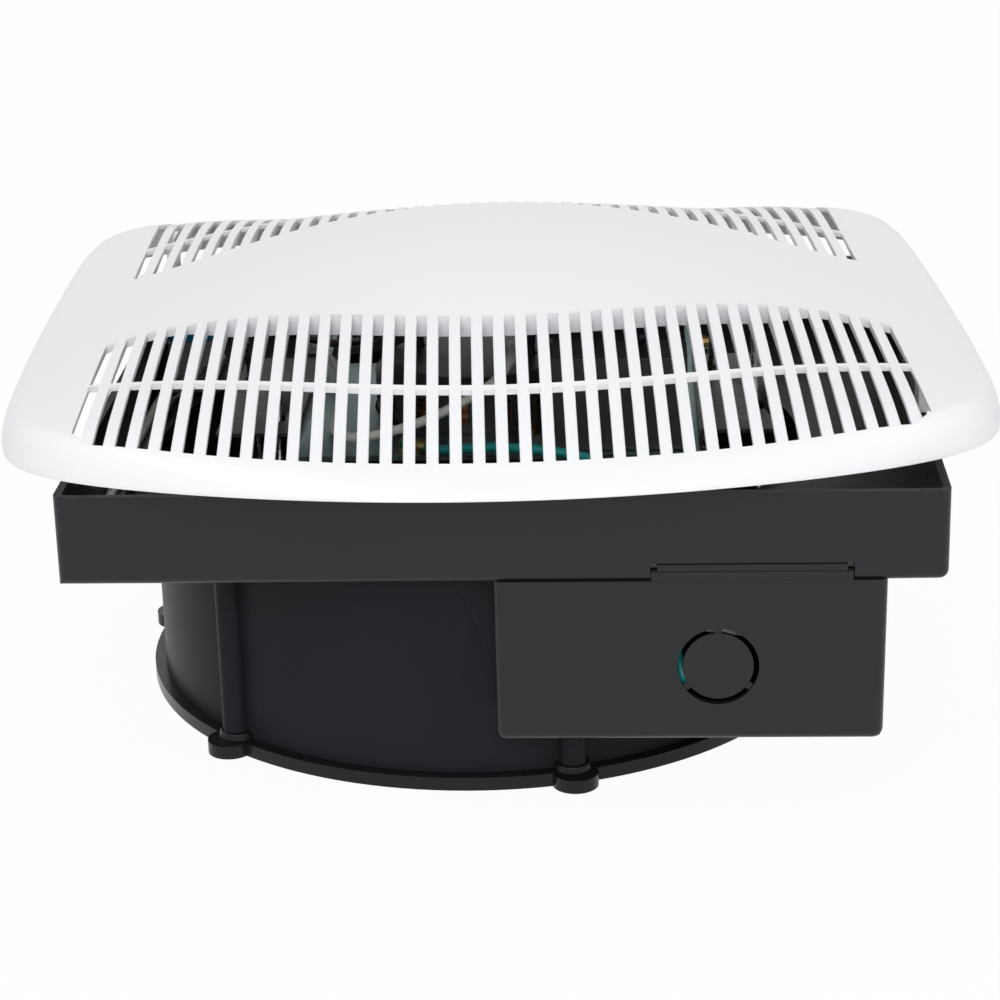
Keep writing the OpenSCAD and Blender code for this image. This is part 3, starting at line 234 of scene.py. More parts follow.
@dataclass(frozen=True)
class SheetMetal(Surface):
    """Plated or plain sheet, with rolling lines and small spangles."""

    colour: Colour
    roughness: float
    spangle_mm: float = 3.0
    line_depth_mm: float = 0.006
    lines_per_m: float = 160.0
    line_stretch: float = 30.0
    clouds_per_m: float = 40.0
    shade: float = 0.82
    spangle_swing: float = 0.1
    line_swing: float = 0.12

    def paint(self, graph: ShaderGraph, at: Signal) -> None:
        """Feed the shader."""
        cells = graph.add("ShaderNodeTexVoronoi", {"feature": "F1"},
                          {"Vector": at, "Scale": 1000.0 / self.spangle_mm}, "Color")
        tone = graph.add("ShaderNodeSeparateColor", {}, {"Color": cells}, "Red")
        lines = graph.noise(graph.place((self.line_stretch, 1.0, 1.0)), self.lines_per_m, 3.0)
        cloud = graph.noise(at, self.clouds_per_m)
        dark = tuple(c * self.shade for c in self.colour)
        uneven = (tone - 0.5) * self.spangle_swing + (lines - 0.5) * self.line_swing
        graph.set(Base_Color=graph.mix(tone * 0.5 + cloud * 0.5, dark, self.colour),
                  Roughness=self.roughness + uneven, Metallic=1.0)
        graph.bump(lines, self.line_depth_mm)


@dataclass(frozen=True)
class MetalPart(Surface):
    """Turned, drawn or cast metal with a faint mottle."""

    colour: Colour
    roughness: float
    metallic: float = 1.0
    mottle_mm: float = 1.2
    shade: float = 0.8
    mottle_swing: float = 0.16
    mottle_depth_mm: float = 0.008

    def paint(self, graph: ShaderGraph, at: Signal) -> None:
        """Feed the shader."""
        mottle = graph.noise(at, 1000.0 / self.mottle_mm, 3.0)
        dark = tuple(c * self.shade for c in self.colour)
        graph.set(Base_Color=graph.mix(mottle, dark, self.colour),
                  Roughness=self.roughness + (mottle - 0.5) * self.mottle_swing,
                  Metallic=self.metallic)
        graph.bump(mottle, self.mottle_depth_mm)


@dataclass(frozen=True)
class LayeredMetal(Surface):
    """Stacked laminations or close turns of wire, as fine lines along Z."""

    dark: Colour
    light: Colour
    line_mm: float
    roughness: float = 0.4
    metallic: float = 0.9
    distortion: float = 0.6
    mottles_per_m: float = 500.0
    line_share: float = 0.7
    mottle_swing: float = 0.15
    line_depth_mm: float = 0.05

    def paint(self, graph: ShaderGraph, at: Signal) -> None:
        """Feed the shader."""
        wave = graph.add("ShaderNodeTexWave", {"wave_type": "BANDS", "bands_direction": "Z"},
                         {"Vector": at, "Scale": 100.0 / self.line_mm,
                          "Distortion": self.distortion}, "Fac")
        mottle = graph.noise(at, self.mottles_per_m)
        tone = wave * self.line_share + mottle * (1.0 - self.line_share)
        graph.set(Base_Color=graph.mix(tone, self.dark, self.light),
                  Roughness=self.roughness + (mottle - 0.5) * self.mottle_swing,
                  Metallic=self.metallic)
        graph.bump(wave, self.line_depth_mm)


class Finish(Enum):
    """Every finish of the fan; each is built once."""

    BLACK_BOX = MouldedPlastic("black_box_plastic", (0.0137, 0.0142, 0.0178), 0.33, specular=0.3)
    # Painted light: the chamber is the box's black plastic, drawn as a lighter copy with almost no
    # sheen; its lighter base stands in for light on the chamber.
    CHAMBER_PAINTED_LIGHT = MouldedPlastic("chamber_black_painted_light", (0.0185, 0.019, 0.023), 0.4,
                                   specular=0.05)
    # Painted shade: the ring and its post feet are the box's black plastic, drawn with a darker
    # base; the lower roughness is the ring's own gloss.
    GLOSSY_RING_PAINTED_SHADE = MouldedPlastic("glossy_ring_plastic_painted_shade", (0.011, 0.0115, 0.0135), 0.26, specular=0.2)
    WHITE_GRILLE = MouldedPlastic("white_grille_plastic", (0.84, 0.85, 0.87), 0.4, 0.012,
                                  0.5, 0.006)
    FAN_BLACK = MouldedPlastic("fan_wheel_plastic", (0.022, 0.022, 0.024), 0.36)
    GREY_SOCKET = MouldedPlastic("receptacle_plastic", (0.27, 0.28, 0.29), 0.45)
    BLUE_PLUG = MouldedPlastic("plug_plastic", (0.012, 0.29, 0.48), 0.38)
    CAPACITOR_CASE = MouldedPlastic("capacitor_moulding", (0.055, 0.058, 0.062), 0.4)
    WIRE_NUT = MouldedPlastic("wire_nut_plastic", (0.03, 0.03, 0.034), 0.4)
    RUBBER = MouldedPlastic("mount_rubber", (0.02, 0.02, 0.02), 0.7, 0.1, 0.6, 0.02)
    WHITE_LEAD = MouldedPlastic("white_lead_sleeve", (0.8, 0.79, 0.73), 0.38, 0.04, 0.6, 0.004)
    BLACK_LEAD = MouldedPlastic("black_lead_sleeve", (0.014, 0.014, 0.015), 0.34, 0.04, 0.6, 0.004)
    GREEN_LEAD = MouldedPlastic("green_lead_sleeve", (0.005, 0.27, 0.25), 0.36, 0.04, 0.6, 0.004)
    BLUE_LEAD = MouldedPlastic("blue_lead_sleeve", (0.018, 0.025, 0.045), 0.36, 0.04, 0.6, 0.004)
    ZINC = SheetMetal("zinc_plated_sheet", (0.33, 0.44, 0.45), 0.38)
    BRACKET_STEEL = SheetMetal("bracket_steel", (0.14, 0.145, 0.135), 0.4)
    ALUMINIUM = SheetMetal("flap_sheet", (0.72, 0.73, 0.75), 0.3, 14.0)
    MOTOR_BLACK = MetalPart("motor_enamel", (0.042, 0.041, 0.042), 0.36, 0.0)
    SPRING_WIRE = MetalPart("drawn_spring_wire", (0.62, 0.63, 0.64), 0.28)
    YELLOW_ZINC = MetalPart("yellow_zinc", (0.72, 0.5, 0.2), 0.3)
    BLACK_SCREW = MetalPart("black_oxide", (0.06, 0.06, 0.065), 0.4)
    GREEN_SCREW = MetalPart("green_dyed_zinc", (0.03, 0.22, 0.08), 0.3, 0.7)
    BRIGHT_STEEL = MetalPart("ground_steel", (0.6, 0.6, 0.62), 0.2)
    ROTOR_CAST = MetalPart("cast_cage", (0.5, 0.5, 0.52), 0.45)
    LAMINATION = LayeredMetal("stator_sheets", (0.2, 0.2, 0.21), (0.42, 0.42, 0.44), 0.65)
    COPPER = LayeredMetal("copper_turns", (0.22, 0.08, 0.035), (0.62, 0.27, 0.12), 0.8, 0.32)

    def material(self) -> Material:
        """Return this finish's material, built when first asked for."""
        if self not in BUILT_FINISHES:
            BUILT_FINISHES[self] = self.value.material()
        return BUILT_FINISHES[self]


BUILT_FINISHES: dict[Finish, Material] = {}


def placed(name: str, data: bpy.types.ID) -> Object:
    """Return a new object that shows some data, linked to the scene."""
    thing = bpy.data.objects.new(name, data)
    bpy.context.scene.collection.objects.link(thing)
    return thing


def publish(bm: BMesh, name: str, body: Body, finish: Finish,
            replaced: Sequence[str] = (), smooth_deg: float = 35.0) -> Object:
    """Turn a millimetre bmesh into a finished piece of the fan.

    Args:
        bm: the mesh, in millimetres; it is freed.
        name: the piece's name.
        body: the body that it rides on.
        finish: its finish.
        replaced: the CAD nodes that it stands for.
        smooth_deg: faces that meet at less than this angle shade as one.

    Returns:
        The new object, at the origin.
    """
    bmesh.ops.scale(bm, vec=Vector((MM, MM, MM)), verts=bm.verts)
    mesh = bpy.data.meshes.new(name)
    bm.to_mesh(mesh)
    bm.free()
    mesh.materials.append(finish.material())
    mesh.polygons.foreach_set("use_smooth", [True] * len(mesh.polygons))
    mesh.set_sharp_from_angle(angle=math.radians(smooth_deg))
    piece = placed(name, mesh)
    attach(piece, body.value)
    if replaced:
        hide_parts(*replaced)
    LOG.info("%s: %d faces", name, len(mesh.polygons))
    return piece


def copy_of(node: str) -> BMesh:
    """Return a CAD node's mesh in millimetres, with its doubles merged."""
    bm = bmesh.new()
    bm.from_mesh(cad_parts[node].data)
    bmesh.ops.scale(bm, vec=Vector((1 / MM, 1 / MM, 1 / MM)), verts=bm.verts)
    bmesh.ops.remove_doubles(bm, verts=bm.verts, dist=MERGE)
    return bm


def add_bevel(piece: Object, width_mm: float, segments: int = 2) -> Modifier:
    """Round a piece's sharp edges with a Bevel modifier.

    Args:
        piece: the piece to round.
        width_mm: how wide the rounding is.
        segments: its steps.

    Returns:
        The new modifier.
    """
    bevel = piece.modifiers.new("edge_round", "BEVEL")
    bevel.width = width_mm * MM
    bevel.segments = segments
    bevel.limit_method = "ANGLE"
    bevel.angle_limit = math.radians(SHARP_DEG)
    bevel.harden_normals = True
    bevel.miter_outer = "MITER_ARC"
    return bevel


@dataclass(frozen=True)
class OuterRound:
    """Rounding of a box-like moulding's outer bottom and upright edges."""

    low: Point
    high: Point
    bottom: float
    corner: float
    radius: float
    segments: int = 6
    taper: Point = (0.0, 0.0)
    height: float = 0.0
    drop: float = 0.0
    weld: float = 0.004
    upright: float = 1.0
    side_reach: float = 4.0

    def on_side(self, vert: BMVert) -> tuple[bool, ...]:
        """Tell which of the left, right, front and back planes hold a vertex."""
        return tuple(abs(vert.co[i] - end[i]) < NEAR
                     for i in (0, 1) for end in (self.low, self.high))

    def apply(self, bm: BMesh) -> None:
        """Square the small corner arcs, then round the edges with one radius.

        Args:
            bm: the moulding's mesh, in millimetres.
        """
        for vert in bm.verts:
            x, y = vert.co.x, vert.co.y
            for cx in (self.low[0], self.high[0]):
                for cy in (self.low[1], self.high[1]):
                    if abs(x - cx) < self.corner and abs(y - cy) < self.corner:
                        vert.co.x, vert.co.y = cx, cy
        bmesh.ops.remove_doubles(bm, verts=bm.verts, dist=self.weld)
        bmesh.ops.dissolve_degenerate(bm, dist=MERGE, edges=bm.edges)
        rounded = []
        for edge in bm.edges:
            shared = [a and b for a, b in zip(*(self.on_side(v) for v in edge.verts))]
            rise = abs(edge.verts[0].co.z - edge.verts[1].co.z)
            lowest = all(abs(v.co.z - self.bottom) < NEAR for v in edge.verts)
            if (rise > self.upright and sum(shared) == 2) or (lowest and any(shared)):
                rounded.append(edge)
        bmesh.ops.bevel(bm, geom=rounded, offset=self.radius, offset_type="OFFSET",
                        segments=self.segments, profile=0.5, affect="EDGES", material=-1,
                        clamp_overlap=False)
        for vert in bm.verts:
            if vert.co.z < self.bottom + self.radius + NEAR:
                vert.co.z -= self.drop
            height = vert.co.z - self.bottom
            share = min(1.0, max(0.0, 1 - height / self.height)) if self.height else 0.0
            if vert.co.x < self.low[0] + self.side_reach:
                vert.co.x += self.taper[0] * share
            elif vert.co.x > self.high[0] - self.side_reach:
                vert.co.x -= self.taper[1] * share


@dataclass
class SoftenedNode:
    """A CAD node shown again with its edges rounded as moulded or pressed."""

    node: str
    slot: str
    finish: Finish
    width_mm: float = 0.4
    segments: int = 2
    flat_deg: float = 0.6
    outer: OuterRound | None = None

    def build(self) -> None:
        """Copy the node, join its triangles into faces and round its edges."""
        bm = copy_of(self.node)
        bmesh.ops.dissolve_limit(bm, angle_limit=math.radians(self.flat_deg),
                                 verts=bm.verts, edges=bm.edges)
        if self.outer:
            self.outer.apply(bm)
        piece = publish(bm, self.node + "_softened", Body.BOX, self.finish,
                        (self.node,))
        add_bevel(piece, self.width_mm, self.segments)


@dataclass
class GrilleForm:
    """The grille's plan and crown, with the same sizes as the CAD model."""

    half_x: float = 142.5
    half_y: float = 141.8
    side_bow: float = 1000.0
    front_bow: float = 300.0
    rim_gap: float = 5.8
    dome: float = 40.4
    rim_z: float = 95.0
    corner_power: float = 12.0
    roll: float = 6.0
    skin: float = 2.6
    pitch: float = 6.11
    slot: float = 2.8
    count: int = 38
    rib: float = 2.4
    turn_deg: float = 3.0
    middle: Point = (6.6, -0.4)
    crown: tuple[float, ...] = (18.65, 14.8, 10.9, 2.0, 0.65)
    inner: tuple[float, ...] = (66.0, -51.3, 21.8)
    rib_line: tuple[float, ...] = (101.8, -26.7, 4.3)
    outer: tuple[float, ...] = (131.1, -7.7, -2.9)
    edge_guess: float = 100.0
    edge_rounds: int = 6
    corner_guess: Point = (120.0, 110.0)
    corner_rounds: int = 10
    move_rounds: int = 5
    slope_step: float = 0.01

    def side_at(self, y: float) -> float:
        """Return the bowed side edge's distance from the middle."""
        return self.half_x - y * y / (2 * self.side_bow)

    def front_at(self, x: float) -> float:
        """Return the bowed front edge's distance from the middle."""
        return self.half_y - x * x / (2 * self.front_bow)

    def partner(self, a: float, rho: float) -> float:
        """Return the other share of a point on the contour rho."""
        power = self.corner_power
        return max(0.0, rho ** power - min(rho, abs(a)) ** power) ** (1 / power)

    def edge_y(self, x: float, rho: float = 1.0) -> float:
        """Find where a contour crosses a line along Y.

        Args:
            x: the line's place.
            rho: the contour; the outline is 1.

        Returns:
            The crossing's y, above the middle.
        """
        y = self.edge_guess
        for _ in range(self.edge_rounds):
            y = self.front_at(x) * self.partner(x / self.side_at(y), rho)
        return y

    def edge_x(self, y: float, rho: float) -> float:
        """Find where a contour crosses a line along X.

        Args:
            y: the line's place.
            rho: the contour.

        Returns:
            The crossing's x, right of the middle.
        """
        x = self.edge_guess
        for _ in range(self.edge_rounds):
            x = self.side_at(y) * self.partner(y / self.front_at(x), rho)
        return x

    def corner(self, rho: float) -> Point:
        """Return a contour's corner, where both shares are equal."""
        share = rho * 0.5 ** (1 / self.corner_power)
        x, y = self.corner_guess
        for _ in range(self.corner_rounds):
            x, y = share * self.side_at(y), share * self.front_at(x)
        return x, y

    def contour(self, t: float) -> float:
        """Return the contour that runs t roll widths inside the outline."""
        return 1 - t * self.roll / self.half_x

    def rho(self, x: float, y: float) -> float:
        """Return the contour that a point lies on."""
        power = self.corner_power
        a, b = abs(x / self.side_at(y)), abs(y / self.front_at(x))
        return (a ** power + b ** power) ** (1 / power)

    def rolled(self, x: float, y: float) -> float:
        """Return how many roll widths a point lies inside the outline."""
        return (1 - self.rho(x, y)) * self.half_x / self.roll

    def inward(self, x: float, y: float) -> Vector:
        """Return the fall of rho at a point, straight across its contour."""
        step = self.slope_step
        return Vector((self.rho(x - step, y) - self.rho(x + step, y),
                       self.rho(x, y - step) - self.rho(x, y + step))) / (2 * step)

    def moved_to(self, x: float, y: float, t: float) -> Point:
        """Move a point straight across the contours.

        Args:
            x: the point's x in the grille's plan.
            y: its y.
            t: how many roll widths inside the outline it ends.

        Returns:
            The moved point.
        """
        for _ in range(self.move_rounds):
            fall = self.inward(x, y)
            gap = self.rho(x, y) - self.contour(t)
            x, y = x + fall.x * gap / fall.length_squared, y + fall.y * gap / fall.length_squared
        return x, y

    def level(self, x: float, y: float) -> float:
        """Return the height of the upper surface above the rim plane."""
        u, v = x * x / DECIMETRE_SQUARED, y * y / DECIMETRE_SQUARED
        kx, ky, kxy, kx4, ky4 = self.crown
        crown = self.dome - kx * u - ky * v + kxy * u * v + kx4 * u * u - ky4 * v * v
        t = min(1.0, max(0.0, self.rolled(x, y)))
        return self.rim_gap + (crown - self.rim_gap) * math.sqrt(max(0.0, 1 - (1 - t) ** 2))

    def bow(self, line: Sequence[float], x: float) -> float:
        """Return a bowed line's y at x."""
        u = x * x / DECIMETRE_SQUARED
        return line[0] + line[1] * u + line[2] * u * u

    def to_fan(self, x: float, y: float) -> Point:
        """Turn a point of the grille's plan into the fan's frame."""
        a = math.radians(self.turn_deg)
        return (self.middle[0] + x * math.cos(a) - y * math.sin(a),
                self.middle[1] + x * math.sin(a) + y * math.cos(a))

    def to_grille(self, x: float, y: float) -> Point:
        """Turn a point of the fan's frame into the grille's plan."""
        a = math.radians(self.turn_deg)
        dx, dy = x - self.middle[0], y - self.middle[1]
        return dx * math.cos(a) + dy * math.sin(a), dy * math.cos(a) - dx * math.sin(a)


class Row(Enum):
    """Kinds of the panel's rows, from its middle line to its edge."""

    PLAIN = "plain"
    NEAR = "near"
    RIB = "rib"
    FAR = "far"
    OUT = "out"
    ROLL = "roll"
    CONTOUR = "contour"


@dataclass
class GrillePanel(GrilleForm):
    """The white slotted panel.

    A grid follows the slots up to a contour inside the outline, rings run
    from there over the rolled edge, and the extruded copy is the underside.
    """

    plain_rows: int = 5
    field_rows: int = 3
    inner_t: float = 0.45
    roll_t: tuple[float, ...] = (1.0, 0.8, 0.6)
    roll_share: tuple[float, ...] = (0.6, 0.75, 0.88)
    roll_y: tuple[float, ...] = (0.925, 0.955, 0.98)
    out_y: float = 0.885
    ring_t: tuple[float, ...] = (0.36, 0.27, 0.18, 0.1, 0.05, 0.018, 0.0)
    lip: tuple[Point, ...] = ((0.12, 0.12), (0.4, 0.0))
    margin_u: tuple[float, ...] = (0.2, 0.4, 0.6, 0.76, 0.87, 0.92, 0.965, 1.0)
    end_cut: float = 4.4
    rib_depth: float = 1.6
    band_depth: float = 6.0
    fade: Point = (0.83, 0.2)
    draft: float = 0.05
    rim_wall: float = 1.6
    rim_low: float = 0.4
    rim_high: float = 0.4
    edge_margin: float = 3.0
    edge_round: float = 0.42

    @cached_property
    def rows(self) -> list[tuple[Row, float]]:
        """Rows of the panel's half, each a kind and its share or number."""
        counts = ((Row.PLAIN, self.plain_rows), (Row.NEAR, self.field_rows), (Row.RIB, 1),
                  (Row.FAR, self.field_rows), (Row.OUT, 1))
        rows = [(kind, i / count) for kind, count in counts for i in range(count)]
        return rows + [(Row.ROLL, i) for i in range(len(self.roll_t))] + [(Row.CONTOUR, 0.0)]

    @cached_property
    def slot_x(self) -> list[float]:
        """Places of the slots' edges along X."""
        return [self.pitch * (i - (self.count - 1) / 2) + s * self.slot / 2
                for i in range(self.count) for s in (-1, 1)]

    def row_y(self, kind: Row, share: float, x: float) -> float:
        """Return a row's y at a column's x.

        Args:
            kind: the row's kind.
            share: its share of the way, or its number in the roll.
            x: the column's place.
        """
        near = self.bow(self.inner, x)
        rib = self.bow(self.rib_line, x)
        cut = max(0.0, abs(x) - self.slot_x[-1] + self.end_cut)
        out = min(self.bow(self.outer, x) - cut, self.edge_y(x) - self.edge_margin)
        if kind is Row.PLAIN:
            return near * share
        if kind is Row.NEAR:
            return near + (rib - self.rib / 2 - near) * share
        if kind is Row.RIB:
            return rib - self.rib / 2
        if kind is Row.FAR:
            return rib + self.rib / 2 + (out - rib - self.rib / 2) * share
        if kind is Row.OUT:
            return out
        start = self.rolled(x, out)
        t = self.inner_t
        if kind is Row.ROLL:
            t = min(self.roll_t[int(share)], start - (start - t) * self.roll_share[int(share)])
        return self.edge_y(x, self.contour(t))

    def plan(self, column: int, row: int) -> Point:
        """Return the plan point of one grid vertex.

        Args:
            column: the vertex's column, from the left margin.
            row: its row, from the front.
        """
        xs = self.slot_x
        last = len(self.rows) - 1
        kind, share = self.rows[abs(row - last)]
        sign = -1 if row < last else 1
        margin = len(self.margin_u)
        if margin <= column < margin + len(xs):
            x = xs[column - margin]
            return x, sign * self.row_y(kind, share, x)
        right = column >= margin + len(xs)
        u = self.margin_u[column - margin - len(xs) if right else margin - 1 - column]
        x0, inner = xs[-1], self.contour(self.inner_t)
        y0 = self.row_y(kind, share, x0)
        corner = self.corner(inner)
        if kind is Row.CONTOUR:
            x = x0 + (corner[0] - x0) * u
            y = self.edge_y(x, inner)
        else:
            out_y0 = self.row_y(Row.OUT, 0.0, x0)
            y1 = corner[1] * (self.roll_y[int(share)] if kind is Row.ROLL
                              else self.out_y * y0 / out_y0)
            x = x0 + (self.edge_x(y1, inner) - x0) * u
            y = y0 + (y1 - y0) * u
        return (x if right else -x), sign * y

    def depth(self, kind: Row, share: float, x: float) -> float:
        """Return the panel's depth in the slot field.

        Args:
            kind: the row's kind.
            share: its share of the way to the rib.
            x: the column's place.
        """
        t = min(1.0, max(0.0, (self.fade[0] - abs(x) / self.slot_x[-1]) / self.fade[1]))
        band = self.skin + (self.band_depth - self.skin) * t * t * (3 - 2 * t)
        return band + (self.rib_depth - band) * share if kind is Row.NEAR else self.rib_depth

    def low_point(self, x: float, y: float, deep: float) -> Vector:
        """Return the underside's point below a point of the panel."""
        height = max(self.rim_gap + self.rim_low, self.level(x, y) - deep)
        return Vector((*self.to_fan(x, y), self.rim_z + height))

    def grid(self, bm: BMesh) -> None:
        """Lay the grid over the slots and open them.

        Args:
            bm: the panel's empty mesh.
        """
        rows, margin = self.rows, len(self.margin_u)
        slots = range(margin, margin + len(self.slot_x))
        columns, count = len(slots) + 2 * margin, 2 * len(rows) - 1
        low = bm.verts.layers.float_vector.new("low")
        bmesh.ops.create_grid(bm, x_segments=columns - 1, y_segments=count - 1, size=1.0)
        place = {vert: (round((vert.co.x + 1) / 2 * (columns - 1)),
                        round((vert.co.y + 1) / 2 * (count - 1))) for vert in bm.verts}
        for vert, (i, j) in place.items():
            x, y = self.plan(i, j)
            kind, share = rows[abs(j - len(rows) + 1)]
            vert.co = Vector((*self.to_fan(x, y), self.rim_z + self.level(x, y)))
            if i in slots and kind in (Row.NEAR, Row.RIB, Row.FAR, Row.OUT):
                deep = self.depth(kind, share, x)
                lean = self.draft * deep * (1 if (i - margin) % 2 else -1)
                vert[low] = self.low_point(x + lean, y, deep)
            else:
                vert[low] = self.low_point(x, y, self.skin)
        holes = [face for face in bm.faces if self._is_slot([place[v] for v in face.verts])]
        bmesh.ops.delete(bm, geom=holes, context="FACES")

    def _is_slot(self, corners: list[tuple[int, int]]) -> bool:
        """Tell whether the columns and rows of a face's corners lie in a slot."""
        i = min(c[0] for c in corners) - len(self.margin_u)
        kind, _ = self.rows[min(abs(c[1] - len(self.rows) + 1) for c in corners)]
        return i in range(0, len(self.slot_x) - 1, 2) and kind in (Row.NEAR, Row.FAR)

    def rings(self, bm: BMesh, border: list[BMEdge]) -> None:
        """Extrude the border over the rolled edge and under its lip.

        Args:
            bm: the panel's mesh.
            border: the grid's outer edges.
        """
        low = bm.verts.layers.float_vector["low"]
        steps = [(t, 0.0, None) for t in self.ring_t]
        steps += [(0.0, inset, rise) for inset, rise in self.lip]
        deepest = self.inner_t * self.roll
        for t, inset, rise in steps:
            made = bmesh.ops.extrude_edge_only(bm, edges=border)["geom"]
            border = [item for item in made if isinstance(item, BMEdge) and item.is_boundary]
            for vert in (item for item in made if isinstance(item, BMVert)):
                x, y = self.moved_to(*self.to_grille(vert.co.x, vert.co.y), t + inset / self.roll)
                z = self.level(x, y) if rise is None else self.rim_gap + rise
                if t == 0.0 and rise is None:
                    z = self.rim_gap + self.rim_high
                share = t / self.inner_t
                wall = self.rim_wall + (deepest - self.rim_wall) * share
                qx, qy = self.moved_to(x, y, wall / self.roll)
                high = max(self.rim_gap + self.rim_low, self.level(qx, qy) - self.skin)
                rest = self.rim_low if rise is None else rise
                vert.co = Vector((*self.to_fan(x, y), self.rim_z + z))
                vert[low] = Vector((*self.to_fan(qx, qy), self.rim_z + self.rim_gap + rest
                                    + (high - self.rim_gap - rest) * math.sqrt(share)))

    def _on_border(self, edge: BMEdge) -> bool:
        """Tell whether an open edge lies on the grid's outer contour."""
        limit = self.inner_t + NEAR
        return all(self.rolled(*self.to_grille(v.co.x, v.co.y)) < limit for v in edge.verts)

    def build(self) -> None:
        """Build the panel."""
        bm = bmesh.new()
        weight = bm.edges.layers.float.new("bevel_weight_edge")
        self.grid(bm)
        open_edges = [edge for edge in bm.edges if edge.is_boundary]
        border = [edge for edge in open_edges if self._on_border(edge)]
        for edge in set(open_edges) - set(border):
            edge[weight] = 1.0
        self.rings(bm, border)
        low = bm.verts.layers.float_vector["low"]
        bmesh.ops.recalc_face_normals(bm, faces=bm.faces)
        made = bmesh.ops.extrude_face_region(bm, geom=list(bm.faces), use_keep_orig=True)["geom"]
        for item in made:
            if isinstance(item, BMVert):
                item.co = item[low]
            elif isinstance(item, BMEdge):
                item[weight] = 0.0
        bmesh.ops.recalc_face_normals(bm, faces=bm.faces)
        piece = publish(bm, "grille_slotted_panel", Body.GRILLE,
                        Finish.WHITE_GRILLE, ("grille",), smooth_deg=40.0)
        bevel = add_bevel(piece, self.edge_round)
        bevel.limit_method = "WEIGHT"
        bevel.use_clamp_overlap = False


@dataclass
class GrilleFittings(GrilleForm):
    """Spring webs, their pins and the seat posts under the panel."""

    spring_x: float = 72.0
    spring_z: float = 117.0
    pin: float = 2.6
    web_z: float = 113.5
    wall: float = 1.6
    web_gap: float = 8.5
    web_half: float = 7.0
    wall_top: float = 0.7
    post_top: float = 0.6
    web_steps: int = 3
    pin_sides: int = 32
    post: Point = (3.0, 10.0)
    post_places: tuple[Point, ...] = ((-1, 34.0), (-1, 95.0), (1, -50.0), (1, 50.0))
    tray_middle: float = 11.5
    tray_half: float = 118.9
    seat_gap: float = 0.2

    def wall_between(self, bm: BMesh, p: Point, q: Point) -> None:
        """Add an upright wall whose top follows the panel's skin.

        Args:
            bm: the fittings' mesh.
            p: one end in the grille's plan.
            q: the other end.
        """
        before = set(bm.verts)
        made = bmesh.ops.create_grid(bm, x_segments=self.web_steps, y_segments=1, size=0.5)
        for vert in made["verts"]:
            s = vert.co.x + 0.5
            x, y = p[0] + (q[0] - p[0]) * s, p[1] + (q[1] - p[1]) * s
            top = self.rim_z + self.level(x, y) - self.wall_top * self.skin
            vert.co = Vector((*self.to_fan(x, y), top if vert.co.y > 0 else self.web_z))
        faces = list({face for vert in made["verts"] for face in vert.link_faces})
        bmesh.ops.solidify(bm, geom=faces, thickness=self.wall)
        fresh = [vert for vert in bm.verts if vert not in before]
        a, b = self.to_fan(*p), self.to_fan(*q)
        along = Vector((b[0] - a[0], b[1] - a[1], 0)).normalized()
        side = Vector((-along.y, along.x, 0))
        offset = sum((v.co - Vector((*a, 0))).dot(side) for v in fresh) / len(fresh)
        bmesh.ops.translate(bm, vec=-side * offset, verts=fresh)

    def build(self) -> None:
        """Build all fittings as one moulded piece."""
        bm = bmesh.new()
        for side in (-1, 1):
            for s in (-1, 1):
                x = side * self.spring_x + s * self.web_gap
                self.wall_between(bm, (x, -self.web_half), (x, self.web_half))
            centre = Vector((*self.to_fan(side * self.spring_x, 0), self.spring_z))
            turn = Matrix.Rotation(math.radians(self.turn_deg), 4, "Z")
            lying = turn @ Matrix.Rotation(math.pi / 2, 4, "Y")
            bmesh.ops.create_cone(bm, cap_ends=True, segments=self.pin_sides, radius1=self.pin,
                                  radius2=self.pin, depth=2 * self.web_gap,
                                  matrix=Matrix.Translation(centre) @ lying)
        for side, y in self.post_places:
            self._post(bm, self.tray_middle + side * self.tray_half, y)
        piece = publish(bm, "grille_fittings", Body.GRILLE, Finish.WHITE_GRILLE)
        add_bevel(piece, width_mm=0.3, segments=1)

    def _post(self, bm: BMesh, x: float, y: float) -> None:
        """Add one seat post between the tray's rim and the panel.

        Args:
            bm: the fittings' mesh.
            x: its place in the fan's frame.
            y: the same along Y.
        """
        low = self.rim_z + self.seat_gap
        gx, gy = self.to_grille(x, y)
        high = self.rim_z + self.level(gx, gy) - self.post_top * self.skin
        size = Matrix.Diagonal((self.post[0], self.post[1], high - low, 1.0))
        middle = Matrix.Translation((x, y, (low + high) / 2))
        bmesh.ops.create_cube(bm, size=1.0, matrix=middle @ size)


